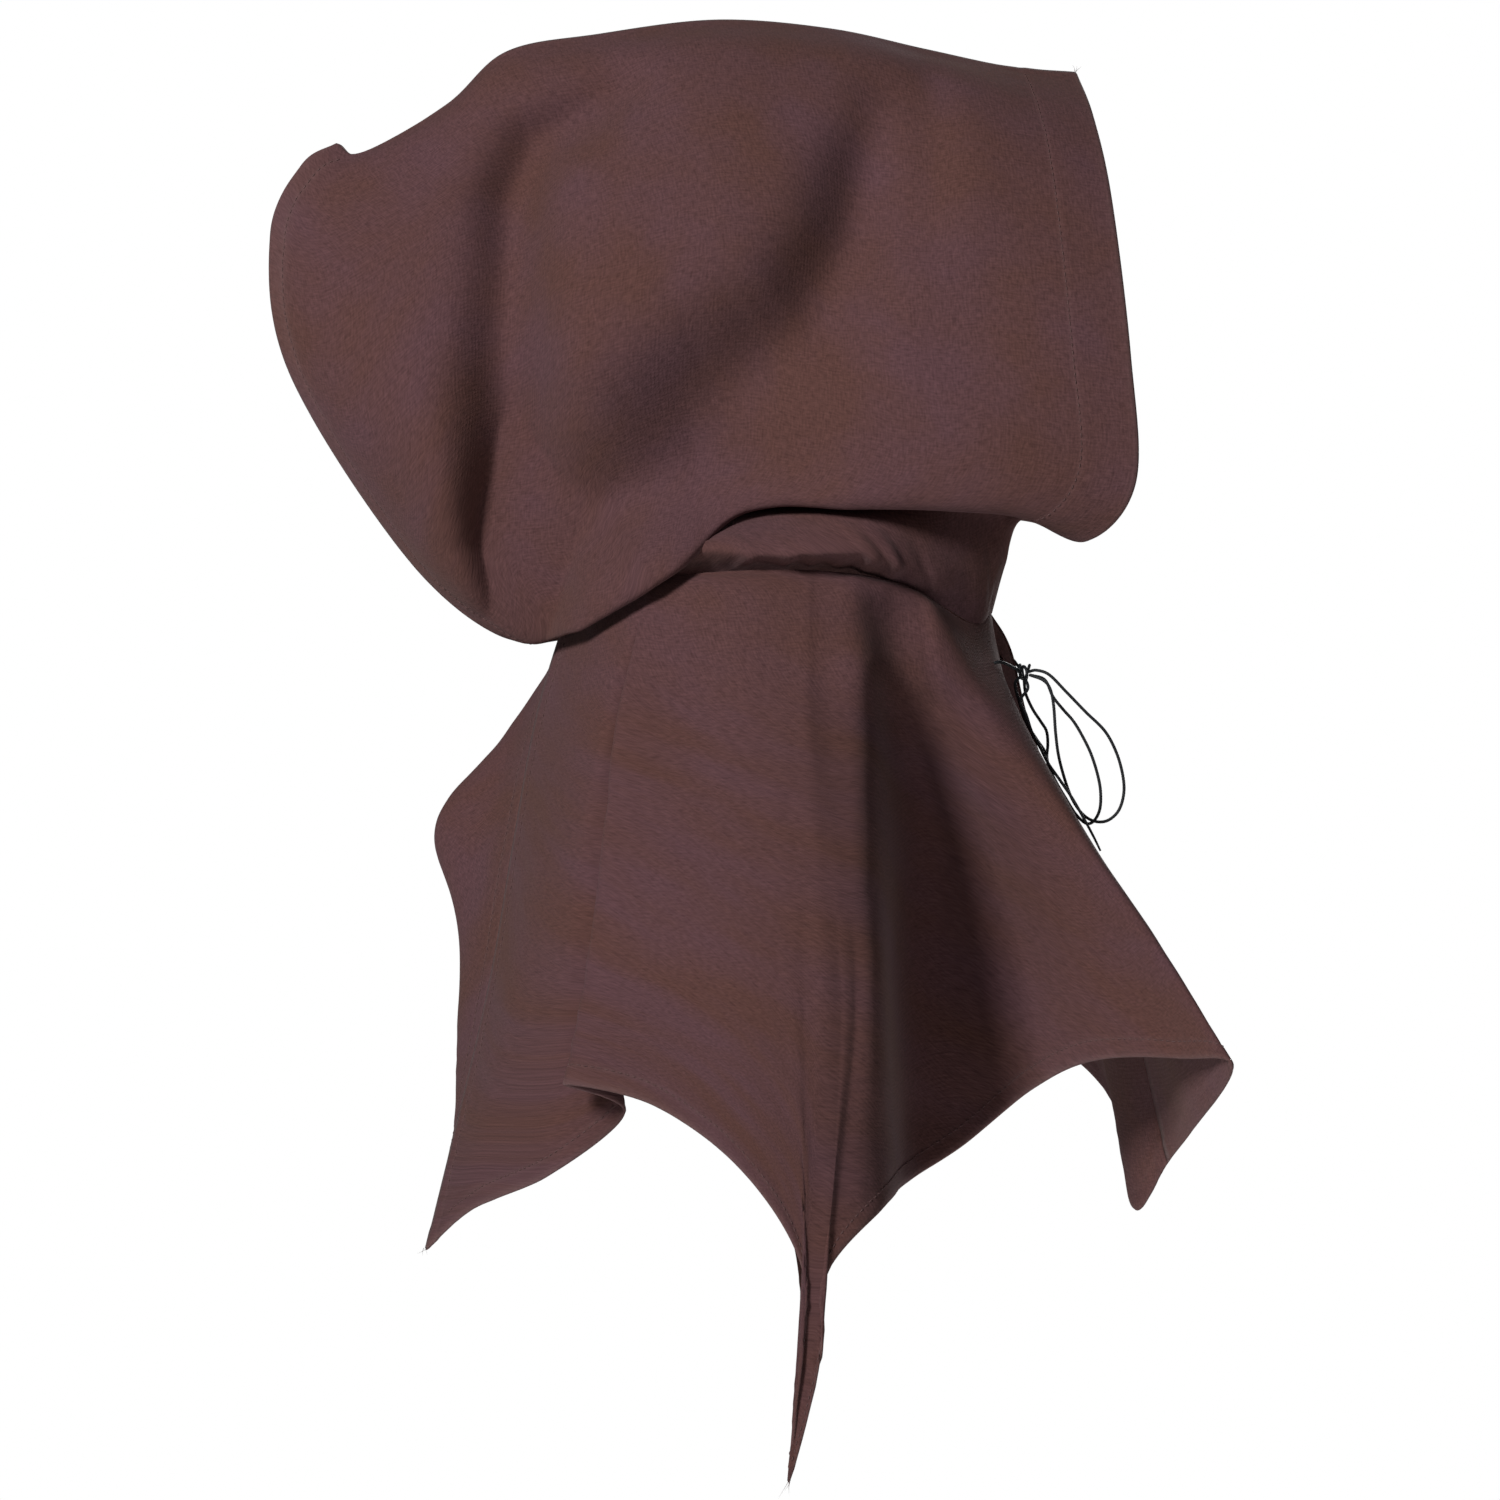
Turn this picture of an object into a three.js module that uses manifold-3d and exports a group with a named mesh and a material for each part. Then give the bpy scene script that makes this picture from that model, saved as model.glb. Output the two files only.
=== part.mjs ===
// A canvas hood with a pointed bag behind the head, a dagged shoulder cape and a tie at the throat.
// Millimetres. +X is the wearer's front, +Y the wearer's left, +Z up. The origin is the inside of
// the crown, where the hood sits on the head.

import * as THREE from 'three';
import Module from 'manifold-3d';
import { mergeVertices } from 'three/addons/utils/BufferGeometryUtils.js';

// Driving sizes
const WALL = 1.6; // thickness of the cloth as a solid
const SEAM_GAP = 0.3; // clearance between two halves
const NECK_GAP = 0.6; // clearance at the neck seam, between the hood and the cape

const HOOD_LENGTH = 382; // back of the bag to the face edge
const HOOD_HEIGHT = 274; // crown to the lowest part of the bag
const HOOD_HALF_WIDTH = 100; // middle plane to the cheek

const NECK_DROP = 250; // crown to the neck seam
const NECK_LENGTH = 182; // neck seam, front to back
const NECK_WIDTH = 132; // neck seam, side to side
const NECK_CENTRE = 30; // neck seam's centre, forward of the crown
const NECK_TILT = 16; // how far the neck seam dips towards the throat

const CAPE_LENGTH = 352; // back point to the front fold
const CAPE_DROP = 391; // neck seam to the side points
const CAPE_HALF_WIDTH = 150; // middle plane to the side points

const CORD_DIAMETER = 1.3;
const CORD_GAP = 0.3; // clearance between the cord and the knot
const KNOT_RADIUS = 3;
const EYELET_CLEARANCE = 0.9; // between the cord and the edge of its eyelet
const PUNCH_REACH = 3; // the eyelet's punch, in thicknesses of the cloth
const LACE_REACH = 4; // how far the lace runs square to the cloth on each side of an eyelet
const LACE_SLACK = 6; // how far back the lace bows behind the throat
const EYELET_PLACE = { section: 1.2, down: 0.225 }; // sections from the throat, share of the way down
const PRESS_LIMIT = 0.6; // the most of its half width that a fold takes
const LEFT_LIFT = { jaw: 0.5, lip: 1, tuck: 1, roll: 0.5 }; // how much of a rib's lift each point takes

const VIEW_DISTANCE = 2200; // from which the side outline was read
const VIEW_CENTRE = { x: 15, z: -319 };

// Columns and rows of a panel's grid; the cape has some columns for each of its sections
const HOOD_GRID = { columns: 24, rows: 22 };
const CAPE_COLUMNS_EACH = 3;
const CAPE_ROWS = 11;
const SLOPE_STEP = 0.004; // share of a grid over which its slope is measured
const CORD_SIDES = 8;

const RIGHT = -1;
const LEFT = 1;

// The hood's sections from the face edge to the back seam. Each point is [forward, out, down] as
// shares of the hood's length, half width and height. The angle is the place on the neck seam. The
// lift is how much higher the left half's lower edge hangs, as a share of the height.
const HOOD_RIBS = [
  { angle: 7, lift: 0.029, top: [0.414, 0, 0.078], brow: [0.433, 0.42, 0.146], crown: [0.454, 0.74, 0.277],
    cheek: [0.476, 0.98, 0.529], jaw: [0.482, 0.97, 0.734], lip: [0.427, 0.8, 0.827],
    tuck: [0.353, 0.52, 0.792], roll: [0.332, 0.28, 0.865] },
  { angle: 25, lift: 0.022, top: [0.34, 0, 0.069], brow: [0.353, 0.42, 0.124], crown: [0.366, 0.74, 0.255],
    cheek: [0.385, 0.98, 0.518], jaw: [0.387, 0.98, 0.701], lip: [0.361, 0.87, 0.788],
    tuck: [0.325, 0.5, 0.77], roll: [0.314, 0.4, 0.872] },
  { angle: 45, lift: 0.011, top: [0.241, 0, 0.04], brow: [0.249, 0.41, 0.088], crown: [0.254, 0.72, 0.226],
    cheek: [0.267, 0.98, 0.504], jaw: [0.272, 0.99, 0.686], lip: [0.27, 0.89, 0.777],
    tuck: [0.264, 0.58, 0.755], roll: [0.259, 0.56, 0.869] },
  { angle: 68, lift: 0, top: [0.131, 0, 0.007], brow: [0.132, 0.38, 0.055], crown: [0.134, 0.69, 0.201],
    cheek: [0.144, 0.98, 0.482], jaw: [0.157, 0.99, 0.675], lip: [0.16, 0.91, 0.772],
    tuck: [0.162, 0.6, 0.752], roll: [0.168, 0.76, 0.839] },
  { angle: 92, lift: 0, top: [0, 0, -0.007], brow: [-0.004, 0.35, 0.044], crown: [-0.008, 0.64, 0.19],
    cheek: [-0.013, 0.93, 0.467], jaw: [0.005, 0.96, 0.668], lip: [0.031, 0.89, 0.774],
    tuck: [0.047, 0.6, 0.759], roll: [0.058, 0.76, 0.839] },
  { angle: 118, lift: 0, top: [-0.136, 0, 0.016], brow: [-0.144, 0.26, 0.073], crown: [-0.152, 0.5, 0.212],
    cheek: [-0.162, 0.76, 0.482], jaw: [-0.118, 0.88, 0.712], lip: [-0.058, 0.82, 0.876],
    tuck: [-0.034, 0.66, 0.843], roll: [-0.031, 0.65, 0.832] },
  { angle: 140, lift: 0, top: [-0.241, 0, 0.044], brow: [-0.254, 0.18, 0.102],
    crown: [-0.272, 0.32, 0.241], cheek: [-0.288, 0.5, 0.504], jaw: [-0.236, 0.64, 0.766],
    lip: [-0.152, 0.58, 0.956], tuck: [-0.123, 0.5, 0.901], roll: [-0.11, 0.45, 0.858] },
  { angle: 152, lift: 0, top: [-0.309, 0, 0.128], brow: [-0.33, 0.14, 0.182], crown: [-0.353, 0.25, 0.303],
    cheek: [-0.364, 0.38, 0.547], jaw: [-0.288, 0.5, 0.81], lip: [-0.183, 0.45, 0.974],
    tuck: [-0.149, 0.39, 0.912], roll: [-0.131, 0.34, 0.861] },
  { angle: 166, lift: 0, top: [-0.406, 0, 0.208], brow: [-0.429, 0.07, 0.245], crown: [-0.45, 0.13, 0.354],
    cheek: [-0.437, 0.19, 0.566], jaw: [-0.325, 0.26, 0.847], lip: [-0.217, 0.22, 0.989],
    tuck: [-0.178, 0.2, 0.92], roll: [-0.154, 0.17, 0.865] },
  { angle: 180, lift: 0, top: [-0.435, 0, 0.193], brow: [-0.476, 0, 0.228], crown: [-0.512, 0, 0.339],
    cheek: [-0.49, 0, 0.558], jaw: [-0.351, 0, 0.861], lip: [-0.236, 0, 0.985], tuck: [-0.188, 0, 0.923],
    roll: [-0.168, 0, 0.869] },
];

// Soft folds pressed into the side of the hood. The path is a list of [forward, down] as shares of
// the hood's length and height. At each of its points, the depth is a share of the half width and
// the spread a share of the length.
const HOOD_FOLDS = [
  { path: [[0.19, 0.154], [0.169, 0.267], [0.153, 0.371], [0.103, 0.507], [0.023, 0.588], [-0.069, 0.668],
      [-0.132, 0.74], [-0.19, 0.813]], depth: [0.08, 0.2, 0.25, 0.28, 0.28, 0.26, 0.22, 0.14],
    spread: [0.04, 0.05, 0.056, 0.07, 0.08, 0.08, 0.075, 0.065] },
  { path: [[-0.113, 0.132], [-0.202, 0.206], [-0.227, 0.299], [-0.229, 0.443], [-0.234, 0.604],
      [-0.232, 0.829], [-0.215, 0.96]], depth: [0.12, 0.2, 0.24, 0.26, 0.32, 0.36, 0.14],
    spread: [0.036, 0.04, 0.043, 0.048, 0.052, 0.048, 0.036] },
  { path: [[0.075, 0.732], [-0.017, 0.748], [-0.109, 0.788], [-0.179, 0.861]],
    depth: [0.1, 0.22, 0.22, 0.12], spread: [0.055, 0.07, 0.06, 0.05] },
  { path: [[0.242, 0.106], [0.242, 0.251], [0.236, 0.363]], depth: [0.05, 0.07, 0.05],
    spread: [0.03, 0.032, 0.03] },
];

// The cape's sections from the throat to the back seam, on the wearer's right. Each point is
// [forward, out, down] as shares of the cape's length, half width and drop below the neck.
const CAPE_RIGHT = [
  { angle: 7, collar: [0.351, 0.067, 0.064], upper: [0.379, 0.053, 0.153], middle: [0.449, 0, 0.286],
    lower: [0.514, 0, 0.445], hem: [0.565, 0, 0.639] },
  { angle: 14, collar: [0.344, 0.147, 0.069], upper: [0.392, 0.233, 0.164], middle: [0.477, 0.373, 0.292],
    lower: [0.565, 0.493, 0.412], hem: [0.645, 0.6, 0.535] },
  { angle: 28, collar: [0.321, 0.267, 0.079], upper: [0.349, 0.307, 0.143], middle: [0.418, 0.333, 0.266],
    lower: [0.497, 0.38, 0.396], hem: [0.577, 0.453, 0.522] },
  { angle: 42, collar: [0.278, 0.367, 0.031], upper: [0.301, 0.3, 0.138], middle: [0.358, 0.247, 0.269],
    lower: [0.42, 0.247, 0.394], hem: [0.474, 0.307, 0.524] },
  { angle: 49, collar: [0.253, 0.38, 0.015], upper: [0.273, 0.273, 0.138], middle: [0.318, 0.18, 0.269],
    lower: [0.358, 0.153, 0.402], hem: [0.398, 0.207, 0.555] },
  { angle: 56, collar: [0.224, 0.4, 0.008], upper: [0.239, 0.253, 0.138], middle: [0.27, 0.127, 0.269],
    lower: [0.287, 0.073, 0.414], hem: [0.31, 0.113, 0.619] },
  { angle: 63, collar: [0.202, 0.433, 0.005], upper: [0.213, 0.327, 0.138], middle: [0.224, 0.247, 0.276],
    lower: [0.23, 0.207, 0.43], hem: [0.241, 0.247, 0.66] },
  { angle: 70, collar: [0.173, 0.48, 0], upper: [0.188, 0.56, 0.143], middle: [0.199, 0.653, 0.286],
    lower: [0.207, 0.733, 0.455], hem: [0.21, 0.8, 0.689] },
  { angle: 77, collar: [0.142, 0.493, 0.005], upper: [0.142, 0.62, 0.148], middle: [0.159, 0.753, 0.302],
    lower: [0.17, 0.847, 0.486], hem: [0.138, 0.933, 0.767] },
  { angle: 81, collar: [0.125, 0.5, 0.008], upper: [0.125, 0.64, 0.148], middle: [0.142, 0.773, 0.304],
    lower: [0.153, 0.873, 0.499], hem: [0.128, 0.973, 0.875] },
  { angle: 84, collar: [0.114, 0.507, 0.008], upper: [0.114, 0.653, 0.148], middle: [0.125, 0.787, 0.307],
    lower: [0.134, 0.893, 0.512], hem: [0.091, 0.993, 1] },
  { angle: 87, collar: [0.098, 0.507, 0.008], upper: [0.095, 0.653, 0.148], middle: [0.102, 0.787, 0.307],
    lower: [0.112, 0.893, 0.501], hem: [0.107, 0.98, 0.87] },
  { angle: 91, collar: [0.082, 0.507, 0.008], upper: [0.077, 0.653, 0.148], middle: [0.08, 0.787, 0.307],
    lower: [0.091, 0.893, 0.486], hem: [0.107, 0.953, 0.757] },
  { angle: 100, collar: [0.04, 0.5, 0.005], upper: [0.028, 0.64, 0.148], middle: [0.023, 0.767, 0.302],
    lower: [0.026, 0.867, 0.46], hem: [0.034, 0.92, 0.65] },
  { angle: 112, collar: [-0.017, 0.467, 0.005], upper: [-0.034, 0.6, 0.148],
    middle: [-0.057, 0.713, 0.286], lower: [-0.071, 0.787, 0.435], hem: [-0.077, 0.833, 0.575] },
  { angle: 122, collar: [-0.08, 0.4, 0.008], upper: [-0.119, 0.547, 0.148], middle: [-0.136, 0.64, 0.281],
    lower: [-0.159, 0.693, 0.422], hem: [-0.188, 0.72, 0.552] },
  { angle: 126, collar: [-0.088, 0.387, 0.008], upper: [-0.114, 0.493, 0.148],
    middle: [-0.131, 0.573, 0.281], lower: [-0.136, 0.627, 0.43], hem: [-0.114, 0.613, 0.583] },
  { angle: 132, collar: [-0.102, 0.36, 0.01], upper: [-0.142, 0.467, 0.148], middle: [-0.17, 0.52, 0.286],
    lower: [-0.19, 0.547, 0.448], hem: [-0.205, 0.547, 0.652] },
  { angle: 150, collar: [-0.142, 0.247, 0.018], upper: [-0.182, 0.293, 0.148],
    middle: [-0.216, 0.307, 0.294], lower: [-0.256, 0.293, 0.473], hem: [-0.301, 0.24, 0.691] },
  { angle: 180, collar: [-0.188, 0, 0.031], upper: [-0.224, 0, 0.141], middle: [-0.253, 0, 0.286],
    lower: [-0.287, 0, 0.46], hem: [-0.361, 0, 0.737] },
];

// The same on the wearer's left, where the folds fall otherwise.
const CAPE_LEFT = [
  { angle: 7, collar: [0.368, 0.053, 0.064], upper: [0.393, 0.033, 0.153], middle: [0.449, 0, 0.286],
    lower: [0.514, 0, 0.445], hem: [0.565, 0, 0.639] },
  { angle: 14, collar: [0.361, 0.12, 0.066], upper: [0.389, 0.16, 0.159], middle: [0.435, 0.187, 0.286],
    lower: [0.486, 0.18, 0.46], hem: [0.523, 0.16, 0.691] },
  { angle: 28, collar: [0.318, 0.28, 0.061], upper: [0.347, 0.36, 0.143], middle: [0.392, 0.413, 0.269],
    lower: [0.44, 0.413, 0.409], hem: [0.497, 0.32, 0.573] },
  { angle: 42, collar: [0.276, 0.36, 0.051], upper: [0.293, 0.44, 0.143], middle: [0.335, 0.52, 0.261],
    lower: [0.381, 0.573, 0.384], hem: [0.426, 0.587, 0.512] },
  { angle: 49, collar: [0.25, 0.38, 0.041], upper: [0.259, 0.433, 0.143], middle: [0.301, 0.507, 0.261],
    lower: [0.338, 0.56, 0.389], hem: [0.372, 0.593, 0.524] },
  { angle: 56, collar: [0.224, 0.4, 0.031], upper: [0.227, 0.44, 0.143], middle: [0.267, 0.493, 0.261],
    lower: [0.295, 0.547, 0.396], hem: [0.318, 0.6, 0.542] },
  { angle: 63, collar: [0.199, 0.44, 0.023], upper: [0.199, 0.52, 0.143], middle: [0.23, 0.6, 0.269],
    lower: [0.253, 0.653, 0.409], hem: [0.267, 0.713, 0.575] },
  { angle: 70, collar: [0.173, 0.473, 0.015], upper: [0.173, 0.587, 0.143], middle: [0.193, 0.693, 0.276],
    lower: [0.207, 0.76, 0.422], hem: [0.213, 0.827, 0.614] },
  { angle: 77, collar: [0.142, 0.493, 0.01], upper: [0.142, 0.627, 0.143], middle: [0.156, 0.753, 0.281],
    lower: [0.162, 0.84, 0.435], hem: [0.148, 0.933, 0.716] },
  { angle: 84, collar: [0.114, 0.507, 0.008], upper: [0.114, 0.653, 0.143], middle: [0.122, 0.787, 0.286],
    lower: [0.128, 0.893, 0.455], hem: [0.116, 1, 0.852] },
  { angle: 91, collar: [0.082, 0.507, 0.008], upper: [0.077, 0.653, 0.143], middle: [0.077, 0.787, 0.286],
    lower: [0.082, 0.893, 0.435], hem: [0.094, 0.96, 0.721] },
  { angle: 102, collar: [0.034, 0.5, 0.005], upper: [0.023, 0.64, 0.143], middle: [0.014, 0.76, 0.276],
    lower: [0.017, 0.853, 0.414], hem: [0.023, 0.933, 0.583] },
  { angle: 116, collar: [-0.034, 0.453, 0.005], upper: [-0.057, 0.587, 0.138],
    middle: [-0.077, 0.693, 0.261], lower: [-0.085, 0.773, 0.384], hem: [-0.085, 0.84, 0.512] },
  { angle: 130, collar: [-0.085, 0.387, 0.008], upper: [-0.128, 0.507, 0.138],
    middle: [-0.165, 0.587, 0.261], lower: [-0.182, 0.64, 0.379], hem: [-0.185, 0.693, 0.499] },
  { angle: 145, collar: [-0.125, 0.267, 0.018], upper: [-0.205, 0.4, 0.138],
    middle: [-0.278, 0.467, 0.261], lower: [-0.273, 0.507, 0.404], hem: [-0.27, 0.52, 0.542] },
  { angle: 160, collar: [-0.159, 0.14, 0.031], upper: [-0.256, 0.267, 0.153],
    middle: [-0.349, 0.313, 0.266], lower: [-0.301, 0.34, 0.399], hem: [-0.31, 0.347, 0.593] },
  { angle: 170, collar: [-0.176, 0.073, 0.031], upper: [-0.239, 0.147, 0.143],
    middle: [-0.29, 0.167, 0.276], lower: [-0.321, 0.173, 0.478], hem: [-0.321, 0.16, 0.66] },
  { angle: 180, collar: [-0.188, 0, 0.031], upper: [-0.224, 0, 0.141], middle: [-0.253, 0, 0.286],
    lower: [-0.287, 0, 0.46], hem: [-0.361, 0, 0.737] },
];

const HOOD_COLUMNS = ['top', 'brow', 'crown', 'cheek', 'jaw', 'lip', 'tuck', 'roll'];
const CAPE_COLUMNS = ['collar', 'upper', 'middle', 'lower', 'hem'];

// The tie's routes in millimetres. The knot hangs in front of the throat. Each loop leaves it and
// comes back to it, and each tail leaves it and ends free.
const KNOT_CENTRE = [135, -5, -285];
const LOOP_ROUTES = {
  tie_loop_long: [[140.5, -11, -284.1], [145.9, -13, -286.1], [153.1, -14, -293.4], [161.7, -14, -302.3],
    [170.2, -14, -310.8], [175.3, -14, -320.4], [178, -14, -330.2], [178.4, -14, -338.1],
    [176.2, -14, -345.4], [171.6, -14, -349.7], [166.3, -13.5, -350.3], [161.1, -13, -347.6],
    [156.5, -12.5, -341.5], [153.3, -12, -333.6], [150.2, -12, -322.3], [148.8, -11.5, -311.8],
    [147.9, -11, -299.3], [146.3, -11, -292], [143.2, -10.5, -288.3]],
  tie_loop_short: [[144.5, -4, -288.2], [148.1, -4, -295.6], [152.8, -4, -301.5], [157.3, -4, -306.7],
    [161.7, -4, -314.2], [165, -4, -321.3], [167.6, -4, -329.6], [168.9, -4.5, -336.9],
    [168.6, -5, -344.8], [166, -5, -350.1], [162.6, -5, -351.2], [158.3, -5, -347.5], [154.4, -5, -341.5],
    [149.7, -5, -333.6], [146.8, -5, -327.6], [145.4, -4.5, -322.4], [145.8, -4, -316.4],
    [145.2, -4, -310.7], [142.5, -4, -306.2], [139.6, -3.5, -301.8], [137.3, -3, -297.2],
    [135.9, -3, -293.2]],
};
const TAIL_ROUTES = {
  tie_tail_long: [[136.5, -14, -292], [132.9, -20, -297.4], [135.2, -24, -303.7], [137.4, -28, -311.1],
    [140.8, -32, -317.9], [144.2, -35, -324.9], [148.8, -38, -331.7], [154.2, -41, -339.9],
    [159.6, -45, -349.8], [163.2, -46, -356.7], [166, -46, -362.5]],
  tie_tail_short: [[131, -12, -290], [132.7, -15, -298], [135.3, -19, -306.6], [139.8, -22, -314.2],
    [143.3, -25, -319.7], [144.3, -27, -325.6]],
};
const CORD_STEPS = { tie_lace: 18, tie_loop_long: 26, tie_loop_short: 28, tie_tail_long: 11, tie_tail_short: 7 };

// The smooth curve through evenly spaced points, at share t of the way along.
function along(points, t) {
  const last = points.length - 1;
  const place = THREE.MathUtils.clamp(t, 0, 1) * last;
  const i = Math.min(Math.floor(place), last - 1);
  const f = place - i;
  const [p1, p2] = [points[i], points[i + 1]];
  const p0 = i > 0 ? points[i - 1] : p1.clone().multiplyScalar(2).sub(p2);
  const p3 = i + 2 <= last ? points[i + 2] : p2.clone().multiplyScalar(2).sub(p1);
  const weights = [
    f * (-1 + f * (2 - f)) / 2,
    1 + f * f * (-5 + 3 * f) / 2,
    f * (1 + f * (4 - 3 * f)) / 2,
    f * f * (f - 1) / 2,
  ];
  return new THREE.Vector3()
    .addScaledVector(p0, weights[0])
    .addScaledVector(p1, weights[1])
    .addScaledVector(p2, weights[2])
    .addScaledVector(p3, weights[3]);
}

// A point as seen from the side, brought to its real place at its own distance from the viewer.
function fromView(x, y, z) {
  const scale = (VIEW_DISTANCE + y) / VIEW_DISTANCE;
  return new THREE.Vector3(
    VIEW_CENTRE.x + (x - VIEW_CENTRE.x) * scale,
    y,
    VIEW_CENTRE.z + (z - VIEW_CENTRE.z) * scale,
  );
}

// The neck seam: an ellipse that dips at the throat and a little at the nape.
function neckPoint(angle, side) {
  const turn = THREE.MathUtils.degToRad(angle);
  const dip = Math.cos(turn) > 0 ? NECK_TILT : NECK_TILT / 2;
  return new THREE.Vector3(
    NECK_CENTRE + NECK_LENGTH / 2 * Math.cos(turn),
    side * NECK_WIDTH / 2 * Math.sin(turn),
    -NECK_DROP + NECK_TILT / 2 - dip * Math.cos(turn) ** 2,
  );
}

// The direction square to the neck seam, level and outwards.
function neckOutward(angle, side) {
  const turn = THREE.MathUtils.degToRad(angle);
  return new THREE.Vector3(
    Math.cos(turn) / NECK_LENGTH,
    side * Math.sin(turn) / NECK_WIDTH,
    0,
  ).normalize();
}

// How far the soft folds push the side of the hood in at a point seen from the side.
function foldDepth(point) {
  const seen = new THREE.Vector3(point.x, 0, point.z);
  const nearest = new THREE.Vector3();
  let total = 0;
  for (const fold of HOOD_FOLDS) {
    const path = fold.path.map(([x, z]) => new THREE.Vector3(x * HOOD_LENGTH, 0, -z * HOOD_HEIGHT));
    let distance = Infinity;
    let depth = 0;
    let spread = 1;
    for (let i = 0; i + 1 < path.length; i += 1) {
      const part = new THREE.Line3(path[i], path[i + 1]);
      const t = part.closestPointToPointParameter(seen, true);
      const reached = part.at(t, nearest).distanceTo(seen);
      if (reached < distance) {
        distance = reached;
        depth = THREE.MathUtils.lerp(fold.depth[i], fold.depth[i + 1], t) * HOOD_HALF_WIDTH;
        spread = THREE.MathUtils.lerp(fold.spread[i], fold.spread[i + 1], t) * HOOD_LENGTH;
      }
    }
    total += depth * Math.exp(-((distance / spread) ** 2));
  }
  return total;
}

// The hood's middle surface: u runs from the face edge to the back seam, v from the top seam down
// to the neck. The left half mirrors the right one.
function hoodSurface(side) {
  const ribs = HOOD_RIBS.map((rib) => {
    const seen = HOOD_COLUMNS.map((name) => {
      const [forward, out, down] = rib[name];
      const lift = side === LEFT ? rib.lift * (LEFT_LIFT[name] ?? 0) : 0;
      const point = fromView(forward * HOOD_LENGTH, -out * HOOD_HALF_WIDTH, (lift - down) * HOOD_HEIGHT);
      point.y *= -side;
      return point;
    });
    const neck = neckPoint(rib.angle, side);
    neck.z += NECK_GAP / 2;
    return [...seen, neck];
  });
  return (u, v) => {
    const point = along(ribs.map((rib) => along(rib, v)), u);
    const away = Math.abs(point.y);
    const pressed = Math.min(foldDepth(point), away * PRESS_LIMIT);
    point.y = side * Math.max(away - pressed, SEAM_GAP / 2);
    return point;
  };
}

// The cape's middle surface: u runs from the throat to the back seam, v from the neck to the hem.
function capeSurface(table, side) {
  const sections = table.map((row) => {
    const neck = neckPoint(row.angle, side);
    neck.z -= NECK_GAP / 2;
    const seen = CAPE_COLUMNS.map((name) => {
      const [forward, out, down] = row[name];
      return fromView(forward * CAPE_LENGTH, side * out * CAPE_HALF_WIDTH, -NECK_DROP - down * CAPE_DROP);
    });
    return [neck, ...seen];
  });
  return (u, v) => {
    const point = along(sections.map((section) => along(section, v)), u);
    point.y = side * Math.max(side * point.y, SEAM_GAP / 2);
    return point;
  };
}

// The outward direction of a surface, from its slopes along u and v.
function outwardAt(surface, side, u, v) {
  const [u0, u1] = [Math.max(u - SLOPE_STEP, 0), Math.min(u + SLOPE_STEP, 1)];
  const [v0, v1] = [Math.max(v - SLOPE_STEP, 0), Math.min(v + SLOPE_STEP, 1)];
  const alongU = surface(u1, v).sub(surface(u0, v));
  const alongV = surface(u, v1).sub(surface(u, v0));
  return alongU.cross(alongV).multiplyScalar(-side).normalize();
}

// A seam in the middle plane keeps the thickness of its edge within that plane.
function withinMiddlePlane(direction) {
  direction.y = 0;
  return direction.normalize();
}

// A closed wall of even thickness around a middle surface, as a grid of outer and inner points.
function wallGeometry(surface, side, grid, edgeDirection) {
  const { columns, rows } = grid;
  const positions = [];
  for (const half of [WALL / 2, -WALL / 2]) {
    for (let i = 0; i <= columns; i += 1) {
      for (let j = 0; j <= rows; j += 1) {
        const [u, v] = [i / columns, j / rows];
        const outward = edgeDirection(outwardAt(surface, side, u, v), i, j);
        positions.push(...surface(u, v).addScaledVector(outward, half).toArray());
      }
    }
  }
  const inner = (columns + 1) * (rows + 1);
  const at = (i, j) => i * (rows + 1) + j;
  const faces = [];
  const quad = (a, b, c, d) => {
    faces.push(...(side === LEFT ? [a, b, c, a, c, d] : [a, c, b, a, d, c]));
  };
  for (let i = 0; i < columns; i += 1) {
    for (let j = 0; j < rows; j += 1) {
      const [a, b, c, d] = [at(i, j), at(i, j + 1), at(i + 1, j + 1), at(i + 1, j)];
      quad(a, b, c, d);
      quad(inner + a, inner + d, inner + c, inner + b);
    }
  }
  const rim = (a, b) => quad(a, inner + a, inner + b, b);
  for (let i = 0; i < columns; i += 1) {
    rim(at(i + 1, 0), at(i, 0));
    rim(at(i, rows), at(i + 1, rows));
  }
  for (let j = 0; j < rows; j += 1) {
    rim(at(0, j), at(0, j + 1));
    rim(at(columns, j + 1), at(columns, j));
  }
  const geometry = new THREE.BufferGeometry();
  geometry.setAttribute('position', new THREE.Float32BufferAttribute(positions, 3));
  geometry.setIndex(faces);
  geometry.computeVertexNormals();
  return geometry;
}

function hoodGeometry(side) {
  const { columns, rows } = HOOD_GRID;
  const angles = HOOD_RIBS.map((rib) => new THREE.Vector3(rib.angle, 0, 0));
  return wallGeometry(hoodSurface(side), side, HOOD_GRID, (outward, i, j) => {
    if (j === rows) return neckOutward(along(angles, i / columns).x, side);
    if (j === 0 || i === columns) return withinMiddlePlane(outward);
    return outward;
  });
}

function capeGeometry(table, side) {
  const columns = CAPE_COLUMNS_EACH * (table.length - 1);
  const angles = table.map((row) => new THREE.Vector3(row.angle, 0, 0));
  return wallGeometry(capeSurface(table, side), side, { columns, rows: CAPE_ROWS }, (outward, i, j) => {
    if (j === 0) return neckOutward(along(angles, i / columns).x, side);
    if (i === 0 || i === columns) return withinMiddlePlane(outward);
    return outward;
  });
}

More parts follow.
